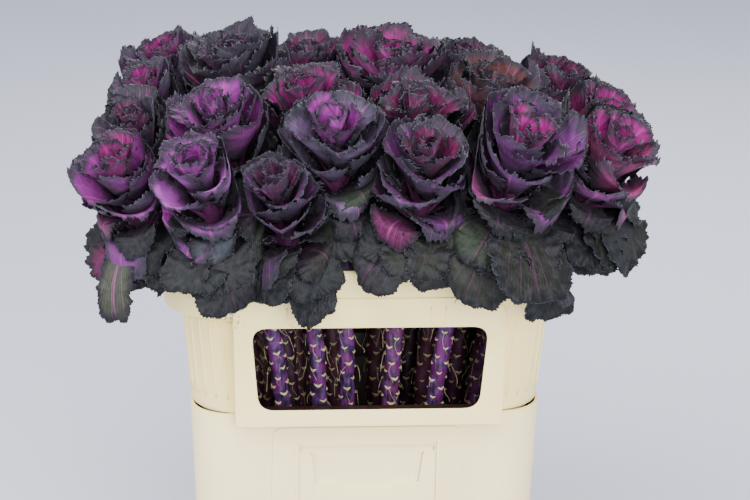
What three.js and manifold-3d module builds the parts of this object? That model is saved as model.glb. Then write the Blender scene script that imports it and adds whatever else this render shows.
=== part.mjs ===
// Purple kale bunch: cut ornamental kale standing in its two-part flower bucket.
// Millimetres, +Z up, with the viewer on the -Y side.
// Origin: the middle of the bucket's foot, on the ground.
import * as THREE from "three";
import { mergeVertices } from "three/addons/utils/BufferGeometryUtils.js";
import Module from "manifold-3d";

const wasm = await Module();
wasm.setup();

// Bucket, the lower container: a tapered tub with rounded corners.
const BUCKET_HEIGHT = 250;
const WALL = 3;
const CORNER_STEPS = 4;
const LAP = 1; // how far a body runs into what it joins, or a cut runs out of what it cuts
const CUT_PAST = 5; // how far a window or a grip is cut in front of its wall
const BUCKET_FOOT = { x: 160, y: 111 };
const BUCKET_MOUTH = { x: 170, y: 120 };
const BUCKET_CORNER = 42;
const FOOT_CHAMFER = 4;
const PANEL = { halfWidth: 94, low: 40, high: 236, proud: 2.6 };
const GRIP = { halfTop: 61, halfFoot: 49, low: 178, high: 214, depth: 2 };

// Collar, the open ring that stands on the bucket's mouth and carries the heads.
const RIM_TOP = 402;
const BAND_LOW = 354;
const BAND_HIGH_HALF = { x: 200, y: 150 };
const BAND_LOW_HALF = { x: 194, y: 144 };
const BAND_CORNER = 62;
const SIDE_TOP = { x: 177, y: 127 };
const SIDE_FOOT = { x: 168, y: 118 };
const SIDE_CORNER = 50;
const INSERT = { x: 160, y: 111, corner: 40, drop: 22, taper: 3 };
const RIM_EASING = { drop: 3, inset: 1.5 };
const BAY_TOP = { x: 130, y: 149.5 };
const BAY_FOOT = { x: 127, y: 139 };
const APRON_DROP = 6;
const WINDOW = { halfTop: 112, halfFoot: 105, low: 261, high: 345, corner: 15, cutDepth: 20 };
const REST_GAP = 0.3;

// Water in the bucket.
const WATER_LEVEL = 90;
const FILL_GAP = 0.4;

// Stems.
const STEM_RADIUS = 8.5;
const STEM_SIDES = 6;
const STEM_STEPS = 5;
const HOLE_MARGIN = 2;
const HOLE_RUN = 0.2; // how far a hole runs on past a stem's foot, as a share of its first stretch
// How far out a stem stands at each height, as a share of how far out its head stands.
const STEM_FAN = [[WALL + FILL_GAP, 0.46], [120, 0.48], [BUCKET_HEIGHT, 0.52], [352, 0.62], [400, 0.72]];
const STEM_STRAIGHT = 28; // the top of a stem, in line with its head
const STEM_GAP = 0.7;
const CROWN_DROP = 60; // from the middle of a head down to the top of its bare stem

// Every head keeps to its own cell: a wedge whose sides run through this point under the bunch, and
// go straight down once they are low.
const CELL_FOCUS_Z = 100;
const CELL_LOW_Z = 432;
const CELL_GAP = 1.3;
const FREE_REACH = 0.6; // of a head's width, how far its leaves reach where it has no neighbour
const SQUEEZE_FROM = 0.7; // the share of its cell that a leaf may fill before it is pressed inwards
// What hangs keeps off the rim by this much, by less above the rim's top and by more below it.
const RIM_CLEARANCE = 11;
const RIM_EASE_ABOVE = 1;
const RIM_FLARE_BELOW = 0.45;
const HANG_CLEAR_FROM = 50; // above the rim's top, where a leaf starts to be kept off it
const RIM_POWER = 6; // of the superellipse that stands for the rim's rounded outline
const JUST_CLEAR = 1.02;

// How far a head's axis leans out with its place, sideways and in depth, and towards the viewer.
const LEAN = { sideways: 0.7, inDepth: 0.42, toViewer: 0.28 };

const BLADE_THICKNESS = 1.6;
const SLIVER = 0.03; // edges shorter than this, left where blades cross, are closed up
const NOMINAL_WIDTH = 94; // across a head that the leaf sizes below fit
const ROOT_HALF_WIDTH = 3.2;
const ROOT_OUT = 4; // from the head's axis
const KEEL_DEPTH = 2.4; // of a leaf's stalk where it starts
const NECK_BEHIND = 0.4; // the share of a blade's length between its neck and its middle
const TIP_DROP = 0.6; // of the wave in its edge
const CURL_RADIUS_LEAST = 10;
const BLADE_AHEAD = 0.42; // the share of a blade's length that lies beyond its widest place
const TIP_FULLNESS = 0.5; // how much squarer than an ellipse a blade is at its tip, and leaner at its foot
const RIB_STEPS = 12;
const RIB_BEND = 1.3;
const GOLDEN_ANGLE = THREE.MathUtils.degToRad(137.508);

// Where the middle of each head is, how wide the head is, its colour, and how many leaves hang from it.
// drop shortens all that hangs from a head, and longest makes its second hanging leaf longer again.
const HEADS = [
  { at: [-228, -115, 475], width: 86, turn: 144, tone: "magenta",
    hanging: 3, outwards: -125, drop: 0.8, longest: 1.75 },
  { at: [-156, -163, 487], width: 86, turn: 9, tone: "magenta", hanging: 3, drop: 0.85 },
  { at: [-86, -156, 469], width: 78, turn: 144, tone: "purple", hanging: 3 },
  { at: [-33, -125, 507], width: 96, turn: 252, tone: "purple", hanging: 2, outwards: -93 },
  { at: [47, -158, 495], width: 90, turn: 108, tone: "purple", hanging: 3 },
  { at: [131, -160, 504], width: 105, turn: 270, tone: "purple", hanging: 4 },
  { at: [220, -105, 490], width: 94, turn: 288, tone: "magenta", hanging: 4, drop: 0.85 },
  { at: [-214, -20, 490], width: 86, turn: 27, tone: "dark", hanging: 2, drop: 0.85 },
  { at: [-137, -62, 507], width: 94, turn: 207, tone: "magenta", hanging: 0 },
  { at: [-52, -20, 508], width: 98, turn: 9, tone: "magenta", hanging: 0 },
  { at: [48, -50, 502], width: 98, turn: 9, tone: "magenta", hanging: 0 },
  { at: [125, 15, 511], width: 94, turn: 162, tone: "dark", hanging: 0 },
  { at: [226, -5, 488], width: 94, turn: 324, tone: "magenta", hanging: 3 },
  { at: [-206, 65, 507], width: 82, turn: 72, tone: "magenta", hanging: 3 },
  { at: [196, 80, 500], width: 94, turn: 243, tone: "magenta", hanging: 3 },
  { at: [-188, 140, 520], width: 86, turn: 72, tone: "magenta", hanging: 4 },
  { at: [-119, 70, 521], width: 108, turn: 324, tone: "dark", hanging: 0 },
  { at: [-46, 135, 516], width: 86, turn: 81, tone: "dark", hanging: 4 },
  { at: [35, 85, 519], width: 108, turn: 36, tone: "magenta", hanging: 0 },
  { at: [107, 140, 514], width: 86, turn: 288, tone: "dark", hanging: 4 },
];

// The kinds of leaf, from the heart of a head outwards. Each pair runs from the kind's first leaf to
// its last. Root heights are from the middle of the head; leans are from the head's axis.
const LEAF_KINDS = {
  heart: {
    count: 3, rootUp: [2, -8], length: [50, 62], rootLean: [6, 13], tipLean: [10, 26],
    halfWidth: [16, 22], petiole: 0.2, cup: 1, wave: 0.6,
  },
  cup: {
    count: 4, rootUp: [-18, -36], length: [76, 88], rootLean: [18, 26], tipLean: [32, 52],
    halfWidth: [31, 36], petiole: 0.2, cup: 1, wave: 1.5,
  },
  outer: {
    count: 4, rootUp: [-42, -52], length: [84, 94], rootLean: [36, 52], tipLean: [62, 80],
    halfWidth: [37, 42], petiole: 0.22, cup: 0.95, wave: 2,
  },
  hanging: {
    rootUp: [-56, -56], length: [88, 96], rootLean: [70, 74], tipLean: [156, 168],
    halfWidth: [37, 40], petiole: 0.2, cup: -0.2, wave: 3, ribBend: 0.85,
  },
};
const OVER = { rise: 9, lean: 14 };
// How much leaves of a kind differ: shares of the length and width, radians of turn, degrees of lean.
const SPREAD = { length: 0.06, halfWidth: 0.07, turn: 0.16, hangingTurn: 0.12, tipLean: 6, sweep: 0.12 };
const HANGING_SPREAD = THREE.MathUtils.degToRad(55); // either side of straight out from the bunch
const CORE = { low: -60, high: 12, foot: 9, top: 5, sides: 6 };

const MATERIALS = {
  plastic: { color: 0xe9e3cb, roughness: 0.5, metalness: 0 },
  water: { color: 0xb9c7c4, roughness: 0.1, metalness: 0 },
  stem: { color: 0x5a3a72, roughness: 0.6, metalness: 0 },
  magenta: { color: 0x8a3877, roughness: 0.7, metalness: 0 },
  purple: { color: 0x5c3a68, roughness: 0.7, metalness: 0 },
  dark: { color: 0x46454b, roughness: 0.75, metalness: 0 },
};

const { degToRad, lerp } = THREE.MathUtils;
const vector = (x, y, z) => new THREE.Vector3(x, y, z);

// A repeatable draw between 0 and 1 for a head, a leaf of it and what is drawn.
function chance(head, leaf, what) {
  const mixed = Math.sin(head * 127.1 + leaf * 311.7 + what * 74.7) * 43758.5453;
  return mixed - Math.floor(mixed);
}

// Solids

function solid(geometry) {
  const bare = geometry.clone();
  bare.deleteAttribute("normal");
  bare.deleteAttribute("uv");
  const merged = mergeVertices(bare, 1e-4);
  return new wasm.Manifold(
    new wasm.Mesh({
      numProp: 3,
      vertProperties: new Float32Array(merged.attributes.position.array),
      triVerts: new Uint32Array(merged.index.array),
    }),
  );
}

function namedMesh(name, body, material) {
  const { vertProperties, triVerts } = body.getMesh();
  const geometry = new THREE.BufferGeometry();
  geometry.setAttribute("position", new THREE.BufferAttribute(vertProperties, 3));
  geometry.setIndex(new THREE.BufferAttribute(triVerts, 1));
  geometry.computeVertexNormals();
  const mesh = new THREE.Mesh(geometry, new THREE.MeshStandardMaterial(MATERIALS[material]));
  mesh.name = name;
  return mesh;
}

function indexedGeometry(points, faces) {
  const geometry = new THREE.BufferGeometry().setFromPoints(points);
  geometry.setIndex(faces.flat());
  return geometry;
}

function roundedRectangle(half, corner) {
  const shape = new THREE.Shape();
  const [x, y] = [half.x - corner, half.y - corner];
  shape.absarc(x, y, corner, 0, Math.PI / 2);
  shape.absarc(-x, y, corner, Math.PI / 2, Math.PI);
  shape.absarc(-x, -y, corner, Math.PI, 1.5 * Math.PI);
  shape.absarc(x, -y, corner, 1.5 * Math.PI, 2 * Math.PI);
  return shape.getPoints(CORNER_STEPS).slice(0, -1);
}

// A closed solid through rings of equal point counts, each { z, outline }, from the bottom up.
function loft(rings) {
  const count = rings[0].outline.length;
  const points = rings.flatMap(({ z, outline }) => outline.map((p) => vector(p.x, p.y, z)));
  const faces = [];
  for (let ring = 0; ring < rings.length - 1; ring++) {
    for (let i = 0; i < count; i++) {
      const [a, b] = [ring * count + i, ring * count + ((i + 1) % count)];
      faces.push([a, b, b + count], [a, b + count, a + count]);
    }
  }
  const top = (rings.length - 1) * count;
  for (const [a, b, c] of THREE.ShapeUtils.triangulateShape(rings[0].outline, [])) {
    faces.push([a, c, b], [top + a, top + b, top + c]);
  }
  return solid(indexedGeometry(points, faces));
}

function rectangle(x, y) {
  const corners = [[x[0], y[0]], [x[1], y[0]], [x[1], y[1]], [x[0], y[1]]];
  return corners.map((corner) => new THREE.Vector2(...corner));
}

const ring = (z, half, corner) => ({ z, outline: roundedRectangle(half, corner) });
const inset = (half, by) => ({ x: half.x - by, y: half.y - by });

function block(x, y, z) {
  const box = new THREE.BoxGeometry(x[1] - x[0], y[1] - y[0], z[1] - z[0]);
  box.translate((x[0] + x[1]) / 2, (y[0] + y[1]) / 2, (z[0] + z[1]) / 2);
  return solid(box);
}

// An outline drawn in X and Z, pushed through from y = back to y = front.
function frontPrism(shape, front, back) {
  const prism = new THREE.ExtrudeGeometry(shape, {
    depth: back - front, bevelEnabled: false, curveSegments: 4,
  });
  prism.rotateX(Math.PI / 2);
  prism.translate(0, back, 0);
  return solid(prism);
}

// The bucket and its collar

function bucketHalfAt(z) {
  const t = z / BUCKET_HEIGHT;
  return { x: lerp(BUCKET_FOOT.x, BUCKET_MOUTH.x, t), y: lerp(BUCKET_FOOT.y, BUCKET_MOUTH.y, t) };
}

function trapezoid(halfLow, halfHigh, low, high) {
  return new THREE.Shape([
    new THREE.Vector2(-halfLow, low),
    new THREE.Vector2(halfLow, low),
    new THREE.Vector2(halfHigh, high),
    new THREE.Vector2(-halfHigh, high),
  ]);
}

function makeBucket() {
  const outside = loft([
    ring(0, inset(BUCKET_FOOT, FOOT_CHAMFER), BUCKET_CORNER - FOOT_CHAMFER),
    ring(FOOT_CHAMFER, BUCKET_FOOT, BUCKET_CORNER),
    ring(BUCKET_HEIGHT, BUCKET_MOUTH, BUCKET_CORNER),
  ]);
  const inside = loft([
    ring(WALL, inset(bucketHalfAt(WALL), WALL), BUCKET_CORNER - WALL),
    ring(BUCKET_HEIGHT + LAP, inset(BUCKET_MOUTH, WALL), BUCKET_CORNER - WALL),
  ]);
  const { halfWidth, low, high, proud } = PANEL;
  const panel = loft([low, high].map((z) => {
    const wall = bucketHalfAt(z).y;
    return { z, outline: rectangle([-halfWidth, halfWidth], [-wall - proud, LAP - wall]) };
  }));
  const gripFace = -bucketHalfAt(GRIP.low).y - proud;
  const grip = frontPrism(
    trapezoid(GRIP.halfFoot, GRIP.halfTop, GRIP.low, GRIP.high), gripFace - CUT_PAST, gripFace + GRIP.depth,
  );
  return outside.add(panel).subtract(inside).subtract(grip);
}

// The boxy bay at the front or back, from the collar's middle out to its face.
function bay(shrink, low, side) {
  const level = (z, half) => {
    const [x, face] = [half.x - shrink, side * (half.y - shrink)];
    return { z, outline: rectangle([-x, x], side > 0 ? [0, face] : [face, 0]) };
  };
  return loft([level(low, BAY_FOOT), level(shrink ? RIM_TOP + LAP : RIM_TOP, BAY_TOP)]);
}

function windowShape() {
  const { halfTop, halfFoot, low, high, corner } = WINDOW;
  const corners = [[-halfFoot, low], [halfFoot, low], [halfTop, high], [-halfTop, high]]
    .map(([x, z]) => new THREE.Vector2(x, z));
  const shape = new THREE.Shape();
  corners.forEach((here, i) => {
    const before = corners[(i + 3) % 4];
    const after = corners[(i + 1) % 4];
    const start = here.clone().lerp(before, corner / here.distanceTo(before));
    const end = here.clone().lerp(after, corner / here.distanceTo(after));
    if (i === 0) shape.moveTo(start.x, start.y);
    else shape.lineTo(start.x, start.y);
    shape.quadraticCurveTo(here.x, here.y, end.x, end.y);
  });
  return shape;
}

function makeCollar() {
  const seat = BUCKET_HEIGHT + REST_GAP;
  const insertFoot = BUCKET_HEIGHT - INSERT.drop;
  const sides = loft([ring(seat, SIDE_FOOT, SIDE_CORNER), ring(BAND_LOW + LAP, SIDE_TOP, SIDE_CORNER)]);
  const band = loft([
    ring(BAND_LOW, BAND_LOW_HALF, BAND_CORNER),
    ring(RIM_TOP - RIM_EASING.drop, BAND_HIGH_HALF, BAND_CORNER),
    ring(RIM_TOP, inset(BAND_HIGH_HALF, RIM_EASING.inset), BAND_CORNER),
  ]);
  const insert = loft([
    ring(insertFoot, inset(INSERT, INSERT.taper), INSERT.corner),
    ring(seat + LAP, INSERT, INSERT.corner),
  ]);
  let body = sides.add(band).add(insert);
  let room = loft([
    ring(insertFoot - LAP, inset(INSERT, INSERT.taper + WALL), INSERT.corner - WALL),
    ring(seat + WALL + LAP, inset(INSERT, WALL), INSERT.corner - WALL),
  ]);
  room = room.add(
    loft([
      ring(seat + WALL, inset(SIDE_FOOT, WALL), SIDE_CORNER - WALL),
      ring(BAND_LOW + WALL + LAP, inset(SIDE_TOP, WALL), SIDE_CORNER - WALL),
    ]),
  );
  room = room.add(
    loft([
      ring(BAND_LOW + WALL, inset(BAND_LOW_HALF, WALL), BAND_CORNER - WALL),
      ring(RIM_TOP + LAP, inset(BAND_HIGH_HALF, WALL), BAND_CORNER - WALL),
    ]),
  );
  for (const side of [-1, 1]) {
    const apronY = [side * BAY_FOOT.y, side * (BAY_FOOT.y - WALL)].sort((a, b) => a - b);
    body = body
      .add(bay(0, seat, side))
      .add(block([-BAY_FOOT.x, BAY_FOOT.x], apronY, [BUCKET_HEIGHT - APRON_DROP, seat + LAP]));
    room = room.add(bay(WALL, seat + WALL, side));
  }
  const window = frontPrism(windowShape(), -BAY_TOP.y - CUT_PAST, -BAY_TOP.y + WINDOW.cutDepth);
  return body.subtract(room).subtract(window);
}

// Cells

const siteOf = ({ at: [x, y, z] }) => [x / (z - CELL_FOCUS_Z), y / (z - CELL_FOCUS_Z)];
const outwardsOf = ({ at, outwards }) => (outwards ? degToRad(outwards) : Math.atan2(at[1], at[0]));

// The planes between this head and each other one, shared out by their widths.
function cellOf(head) {
  const site = siteOf(head);
  const sides = HEADS.filter((other) => other !== head).map((other) => {
    const there = siteOf(other);
    const away = [there[0] - site[0], there[1] - site[1]];
    const apart = Math.hypot(...away);
    const share = head.width / (head.width + other.width);
    return { x: away[0] / apart, y: away[1] / apart, reach: apart * share };
  });
  return { site, sides, outwards: outwardsOf(head), free: head.width * FREE_REACH };
}

const cellHeight = (z) => Math.max(z, CELL_LOW_Z) - CELL_FOCUS_Z;
const cellMiddle = (cell, z) => vector(cell.site[0] * cellHeight(z), cell.site[1] * cellHeight(z), z);

// Presses a point in towards a place in its cell as it nears the cell's sides, or towards the cell's
// middle as it nears the end of its free reach.
function keepInCell(point, cell, towards) {
  const middle = cellMiddle(cell, point.z);
  let filled = towards ? 0 : Math.hypot(point.x - middle.x, point.y - middle.y) / cell.free;
  towards ??= middle;
  for (const side of cell.sides) {
    const room = side.reach * cellHeight(point.z) - CELL_GAP;
    const used = (towards.x - middle.x) * side.x + (towards.y - middle.y) * side.y;
    const across = (point.x - towards.x) * side.x + (point.y - towards.y) * side.y;
    filled = Math.max(filled, across / Math.max(room - used, 1));
  }
  if (filled <= SQUEEZE_FROM) return point.clone();
  const left = 1 - SQUEEZE_FROM;
  const pressed = SQUEEZE_FROM + left * (1 - Math.exp((SQUEEZE_FROM - filled) / left));
  return towards.clone().lerp(point, pressed / filled);
}

// How far out a point stands, where 1 is just clear of the rim at the point's height.
function rimShare(point) {
  const above = point.z - RIM_TOP;
  const off = RIM_CLEARANCE - above * (above > 0 ? RIM_EASE_ABOVE : RIM_FLARE_BELOW);
  const reach = { x: BAND_HIGH_HALF.x + off, y: BAND_HIGH_HALF.y + off };
  const sum = Math.abs(point.x / reach.x) ** RIM_POWER + Math.abs(point.y / reach.y) ** RIM_POWER;
  return sum ** (1 / RIM_POWER);
}

function clearOfRim(point) {
  const share = rimShare(point);
  return share >= 1 ? point : vector(point.x / share, point.y / share, point.z);
}

// Keeps a point of a hanging leaf outside the rim and in its own cell.
function hangClear(point, cell) {
  const towards = cellMiddle(cell, point.z);
  const [x, y] = [Math.cos(cell.outwards), Math.sin(cell.outwards)];
  while (rimShare(towards) < JUST_CLEAR) towards.add(vector(x, y, 0));
  return clearOfRim(keepInCell(clearOfRim(point), cell, towards));
}

// Leaves

// A head's own axis: it follows its cell part of the way out and faces a little towards the viewer.
function frameOf(head) {
  const site = siteOf(head);
  const up = vector(site[0] * LEAN.sideways, site[1] * LEAN.inDepth - LEAN.toViewer, 1).normalize();
  const right = vector(1, 0, 0).addScaledVector(up, -up.x).normalize();
  return { middle: vector(...head.at), up, right, back: up.clone().cross(right) };
}

function ribOf(leaf) {
  const points = [{ out: ROOT_OUT, up: leaf.rootUp, lean: leaf.rootLean }];
  const step = leaf.length / RIB_STEPS;
  for (let i = 1; i <= RIB_STEPS; i++) {
    const share = ((i - 0.5) / RIB_STEPS) ** leaf.ribBend;
    const lean = lerp(leaf.rootLean, leaf.tipLean, share);
    const { out, up } = points[i - 1];
    points.push({ out: out + step * Math.sin(lean), up: up + step * Math.cos(lean), lean });
  }
  return points;
}

function alongRib(rib, share) {
  const at = Math.min(Math.max(share, 0), 1) * RIB_STEPS;
  const i = Math.min(Math.floor(at), RIB_STEPS - 1);
  const [a, b] = [rib[i], rib[i + 1]];
  return {
    out: lerp(a.out, b.out, at - i), up: lerp(a.up, b.up, at - i), lean: lerp(a.lean, b.lean, at - i),
  };
}

// A point of the flat leaf, x along the rib and y across, bent to its place in the head.
// Returns the point and the direction of the leaf's upper face.
function bend(leaf, x, y, lift) {
  const { out, up, lean } = alongRib(leaf.rib, x / leaf.length);
  const curl = leaf.cup / Math.max(out, CURL_RADIUS_LEAST);
  const across = Math.sin(curl * y) / curl + (leaf.sweep * x * x) / leaf.length;
  const raised = lift + (1 - Math.cos(curl * y)) / curl;
  const { middle, up: axis, right, back } = leaf.frame;
  const outward = right.clone().multiplyScalar(Math.cos(leaf.turn)).addScaledVector(back, Math.sin(leaf.turn));
  const sideways = axis.clone().cross(outward);
  const face = axis.clone().multiplyScalar(Math.sin(lean)).addScaledVector(outward, -Math.cos(lean));
  const point = middle.clone()
    .addScaledVector(outward, out)
    .addScaledVector(axis, up)
    .addScaledVector(sideways, across)
    .addScaledVector(face, raised);
  if (leaf.kind !== "hanging") return { point: keepInCell(point, leaf.cell), face };
  const isLow = point.z < RIM_TOP + HANG_CLEAR_FROM && x > 0;
  if (isLow) return { point: hangClear(point, leaf.cell), face };
  return { point: keepInCell(point, leaf.cell, cellMiddle(leaf.cell, point.z)), face };
}

// The blade's outline as a distance from the blade's middle, by direction: 0 is the tip.
function outlineAt(leaf, angle) {
  const ahead = Math.cos(angle);
  const reach = (ahead > 0 ? BLADE_AHEAD : 1 - BLADE_AHEAD) * leaf.blade;
  const power = 2 + TIP_FULLNESS * ahead;
  const sum = Math.abs(ahead / reach) ** power + Math.abs(Math.sin(angle) / leaf.halfWidth) ** power;
  return sum ** (-1 / power);
}

// The directions of the blade's corners on one side, and whether the edge waves up or down there.
const EDGE_CORNERS = [
  { angle: degToRad(114), wave: -1 },
  { angle: degToRad(50), wave: 1 },
];

// One leaf as a thin closed blade, thickest along its rib, that starts inside the core.
function blade(leaf) {
  const middleX = leaf.length - BLADE_AHEAD * leaf.blade;
  const side = EDGE_CORNERS.map(({ angle, wave }) => {
    const r = outlineAt(leaf, angle);
    return { x: middleX + r * Math.cos(angle), y: r * Math.sin(angle), lift: wave * leaf.wave };
  });
  const root = { x: 0, y: ROOT_HALF_WIDTH, lift: 0 };
  const tip = { x: leaf.length, y: 0, lift: -TIP_DROP * leaf.wave };
  const left = [root, ...side];
  const right = left.map(({ x, y, lift }) => ({ x, y: -y, lift })).reverse();
  const edge = [...left, tip, ...right].map(({ x, y, lift }) => bend(leaf, x, y, lift).point);

  const [start, neck, heart] = [0, middleX - NECK_BEHIND * leaf.blade, middleX].map((x) => bend(leaf, x, 0, 0));
  const offRib = ({ point, face }, by) => point.clone().addScaledVector(face, by);
  const half = BLADE_THICKNESS / 2;
  const below = [offRib(start, -KEEL_DEPTH), offRib(neck, -half), offRib(heart, -half)];
  const above = [offRib(neck, half), offRib(heart, half)];

  const n = edge.length;
  const [keel, neckBelow, heartBelow, neckAbove, heartAbove] = [n, n + 1, n + 2, n + 3, n + 4];
  const faces = [[0, n - 1, neckAbove], [0, keel, n - 1]];
  for (const onLeft of [true, false]) {
    const [a, b, c, d] = onLeft ? [0, 1, 2, 3] : [n - 1, n - 2, n - 3, n - 4];
    for (const isAbove of [true, false]) {
      const [nearRoot, middle] = isAbove ? [neckAbove, heartAbove] : [neckBelow, heartBelow];
      const fan = [[a, b, nearRoot], [b, middle, nearRoot], [b, c, middle], [c, d, middle]];
      if (!isAbove) fan.push([a, nearRoot, keel]);
      faces.push(...fan.map(([p, q, r]) => (isAbove === onLeft ? [p, r, q] : [p, q, r])));
    }
  }
  return indexedGeometry([...edge, ...below, ...above], faces);
}

// Every leaf of a head, as the sizes and turns that its blade is bent from.
function leavesOf(head, number) {
  const frame = frameOf(head);
  const cell = cellOf(head);
  const scale = head.width / NOMINAL_WIDTH;
  const leaves = [];
  for (const [kind, sizes] of Object.entries(LEAF_KINDS)) {
    const count = sizes.count ?? head.hanging;
    for (let i = 0; i < count; i++) {
      const share = count > 1 ? i / (count - 1) : 0.5;
      const order = leaves.length;
      const draw = (what) => 2 * chance(number, order, what) - 1;
      const size = (key) => lerp(...sizes[key], share);
      const over = kind === "hanging" ? i % 2 : 0; // every second hanging leaf lies over its neighbours
      let length = size("length") * scale * (1 + SPREAD.length * draw(1));
      if (kind === "hanging") length *= (head.drop ?? 1) * (i === 1 ? head.longest ?? 1 : 1);
      const turn = kind === "hanging"
        ? cell.outwards + HANGING_SPREAD * (2 * share - 1) + SPREAD.hangingTurn * draw(2)
        : degToRad(head.turn) + order * GOLDEN_ANGLE + SPREAD.turn * draw(2);
      const leaf = {
        frame, cell, kind, turn, length,
        rootUp: size("rootUp") + over * OVER.rise,
        rootLean: degToRad(size("rootLean") - over * OVER.lean),
        tipLean: degToRad(size("tipLean") + SPREAD.tipLean * draw(3)),
        halfWidth: size("halfWidth") * scale * (1 + SPREAD.halfWidth * draw(4)),
        blade: length * (1 - sizes.petiole),
        cup: sizes.cup,
        wave: sizes.wave * scale,
        sweep: SPREAD.sweep * draw(5),
        ribBend: sizes.ribBend ?? RIB_BEND,
      };
      leaf.rib = ribOf(leaf);
      leaves.push(leaf);
    }
  }
  return leaves;
}

function upright(profile, sides, frame) {
  const lathe = new THREE.LatheGeometry(profile.map(([r, z]) => new THREE.Vector2(r, z)), sides);
  lathe.rotateX(Math.PI / 2);
  const { middle, up, right, back } = frame;
  const turned = new THREE.Matrix4().makeBasis(right, back, up).setPosition(middle);
  return lathe.applyMatrix4(turned);
}

function makeHead(head, number) {
  const { low, high, foot, top, sides } = CORE;
  const profile = [[0, low], [foot, low], [top, high], [0, high]];
  let body = solid(upright(profile, sides, frameOf(head)));
  for (const leaf of leavesOf(head, number)) body = body.add(solid(blade(leaf)));
  const pieces = body.simplify(SLIVER).decompose();
  return pieces.sort((a, b) => b.volume() - a.volume())[0];
}

// Stems and water

function stemPath(head) {
  const { middle, up } = frameOf(head);
  const [x, y] = head.at;
  const points = STEM_FAN.map(([z, fan]) => vector(x * fan, y * fan, z));
  const top = CROWN_DROP + STEM_GAP;
  const ends = [top + STEM_STRAIGHT, top].map((drop) => middle.clone().addScaledVector(up, -drop));
  return new THREE.CatmullRomCurve3([...points, ...ends]);
}

function tube(path, radius, steps) {
  const section = new THREE.Shape();
  section.absarc(0, 0, radius, 0, 2 * Math.PI);
  const points = section.getSpacedPoints(STEM_SIDES).slice(0, -1);
  return solid(
    new THREE.ExtrudeGeometry(new THREE.Shape(points), { steps, bevelEnabled: false, extrudePath: path }),
  );
}

function makeWater(stems) {
  const low = WALL + FILL_GAP;
  const margin = WALL + FILL_GAP;
  let body = loft([
    ring(low, inset(bucketHalfAt(low), margin), BUCKET_CORNER - margin),
    ring(WATER_LEVEL, inset(bucketHalfAt(WATER_LEVEL), margin), BUCKET_CORNER - margin),
  ]);
  for (const path of stems) {
    const [foot, next] = path.points;
    const down = foot.clone().sub(next);
    const hole = new THREE.LineCurve3(foot.clone().addScaledVector(down, HOLE_RUN), next.clone());
    body = body.subtract(tube(hole, STEM_RADIUS + HOLE_MARGIN, 1));
  }
  return body;
}

// The whole bunch

const bunch = new THREE.Group();
bunch.name = "purple_kale_bunch";
const paths = HEADS.map(stemPath);
bunch.add(namedMesh("bucket", makeBucket(), "plastic"));
bunch.add(namedMesh("collar", makeCollar(), "plastic"));
bunch.add(namedMesh("water", makeWater(paths), "water"));
HEADS.forEach((head, i) => {
  const number = String(i + 1).padStart(2, "0");
  bunch.add(namedMesh(`stem_${number}`, tube(paths[i], STEM_RADIUS, STEM_STEPS), "stem"));
  bunch.add(namedMesh(`head_${number}`, makeHead(head, i + 1), head.tone));
});

export default bunch;
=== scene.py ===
import math

import bpy
import numpy as np
from mathutils import Matrix, Vector


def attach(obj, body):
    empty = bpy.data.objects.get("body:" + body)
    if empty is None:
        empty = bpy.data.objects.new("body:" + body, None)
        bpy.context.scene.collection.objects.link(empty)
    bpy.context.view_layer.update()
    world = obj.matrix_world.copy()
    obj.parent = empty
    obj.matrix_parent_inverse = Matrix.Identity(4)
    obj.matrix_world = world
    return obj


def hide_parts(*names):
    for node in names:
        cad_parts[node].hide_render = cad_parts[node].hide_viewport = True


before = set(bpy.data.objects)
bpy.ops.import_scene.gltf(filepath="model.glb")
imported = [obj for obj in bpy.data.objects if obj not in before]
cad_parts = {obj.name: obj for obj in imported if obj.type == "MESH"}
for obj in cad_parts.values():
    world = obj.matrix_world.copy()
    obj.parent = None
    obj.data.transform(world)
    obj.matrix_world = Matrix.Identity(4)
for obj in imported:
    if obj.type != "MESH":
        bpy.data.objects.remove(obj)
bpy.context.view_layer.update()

# Camera
# It looks a little down on the bunch from straight in front, through a long lens,
# so that the upright lines of the bucket stay almost parallel.
MM = 0.001
CAMERA_TARGET = Vector((3, -150, 423)) * MM
CAMERA_DISTANCE = 2300 * MM
CAMERA_AZIMUTH = math.radians(-4)
CAMERA_ELEVATION = math.radians(17)
CAMERA_ROLL = math.radians(0.7)
PICTURE_WIDTH = 750
MM_PER_PIXEL = 0.93
SENSOR_WIDTH = 36
FAR_CLIP = 30

camera_data = bpy.data.cameras.new("camera")
camera_data.sensor_width = SENSOR_WIDTH
camera_data.lens = SENSOR_WIDTH * CAMERA_DISTANCE / (PICTURE_WIDTH * MM_PER_PIXEL * MM)
camera_data.clip_end = FAR_CLIP
camera = bpy.data.objects.new("camera", camera_data)
towards_camera = Vector((
    math.sin(CAMERA_AZIMUTH) * math.cos(CAMERA_ELEVATION),
    -math.cos(CAMERA_AZIMUTH) * math.cos(CAMERA_ELEVATION),
    math.sin(CAMERA_ELEVATION),
))
looking = towards_camera.to_track_quat("Z", "Y").to_matrix() @ Matrix.Rotation(CAMERA_ROLL, 3, "Z")
standing = Matrix.Translation(CAMERA_TARGET + towards_camera * CAMERA_DISTANCE)
camera.matrix_world = standing @ looking.to_4x4()
bpy.context.scene.collection.objects.link(camera)
bpy.context.scene.camera = camera


# Bucket
# The lower container of a flower grower's bucket: a tapered rectangular tub, injection moulded in
# cream polypropylene with a 3 mm wall. Its front has a raised panel with a shallow grip in it.
WALL = 3
BUCKET_HEIGHT = 250
BUCKET_FOOT = (160, 111)
BUCKET_MOUTH = (170, 120)
BUCKET_CORNER = 42
FOOT_CHAMFER = 4
ARC_STEPS = 20
LAP = 1  # how far one body reaches into another before they are joined or cut
QUARTERS = ((1, 1), (-1, 1), (-1, -1), (1, -1))  # the four corners, as the signs of x and y


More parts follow.
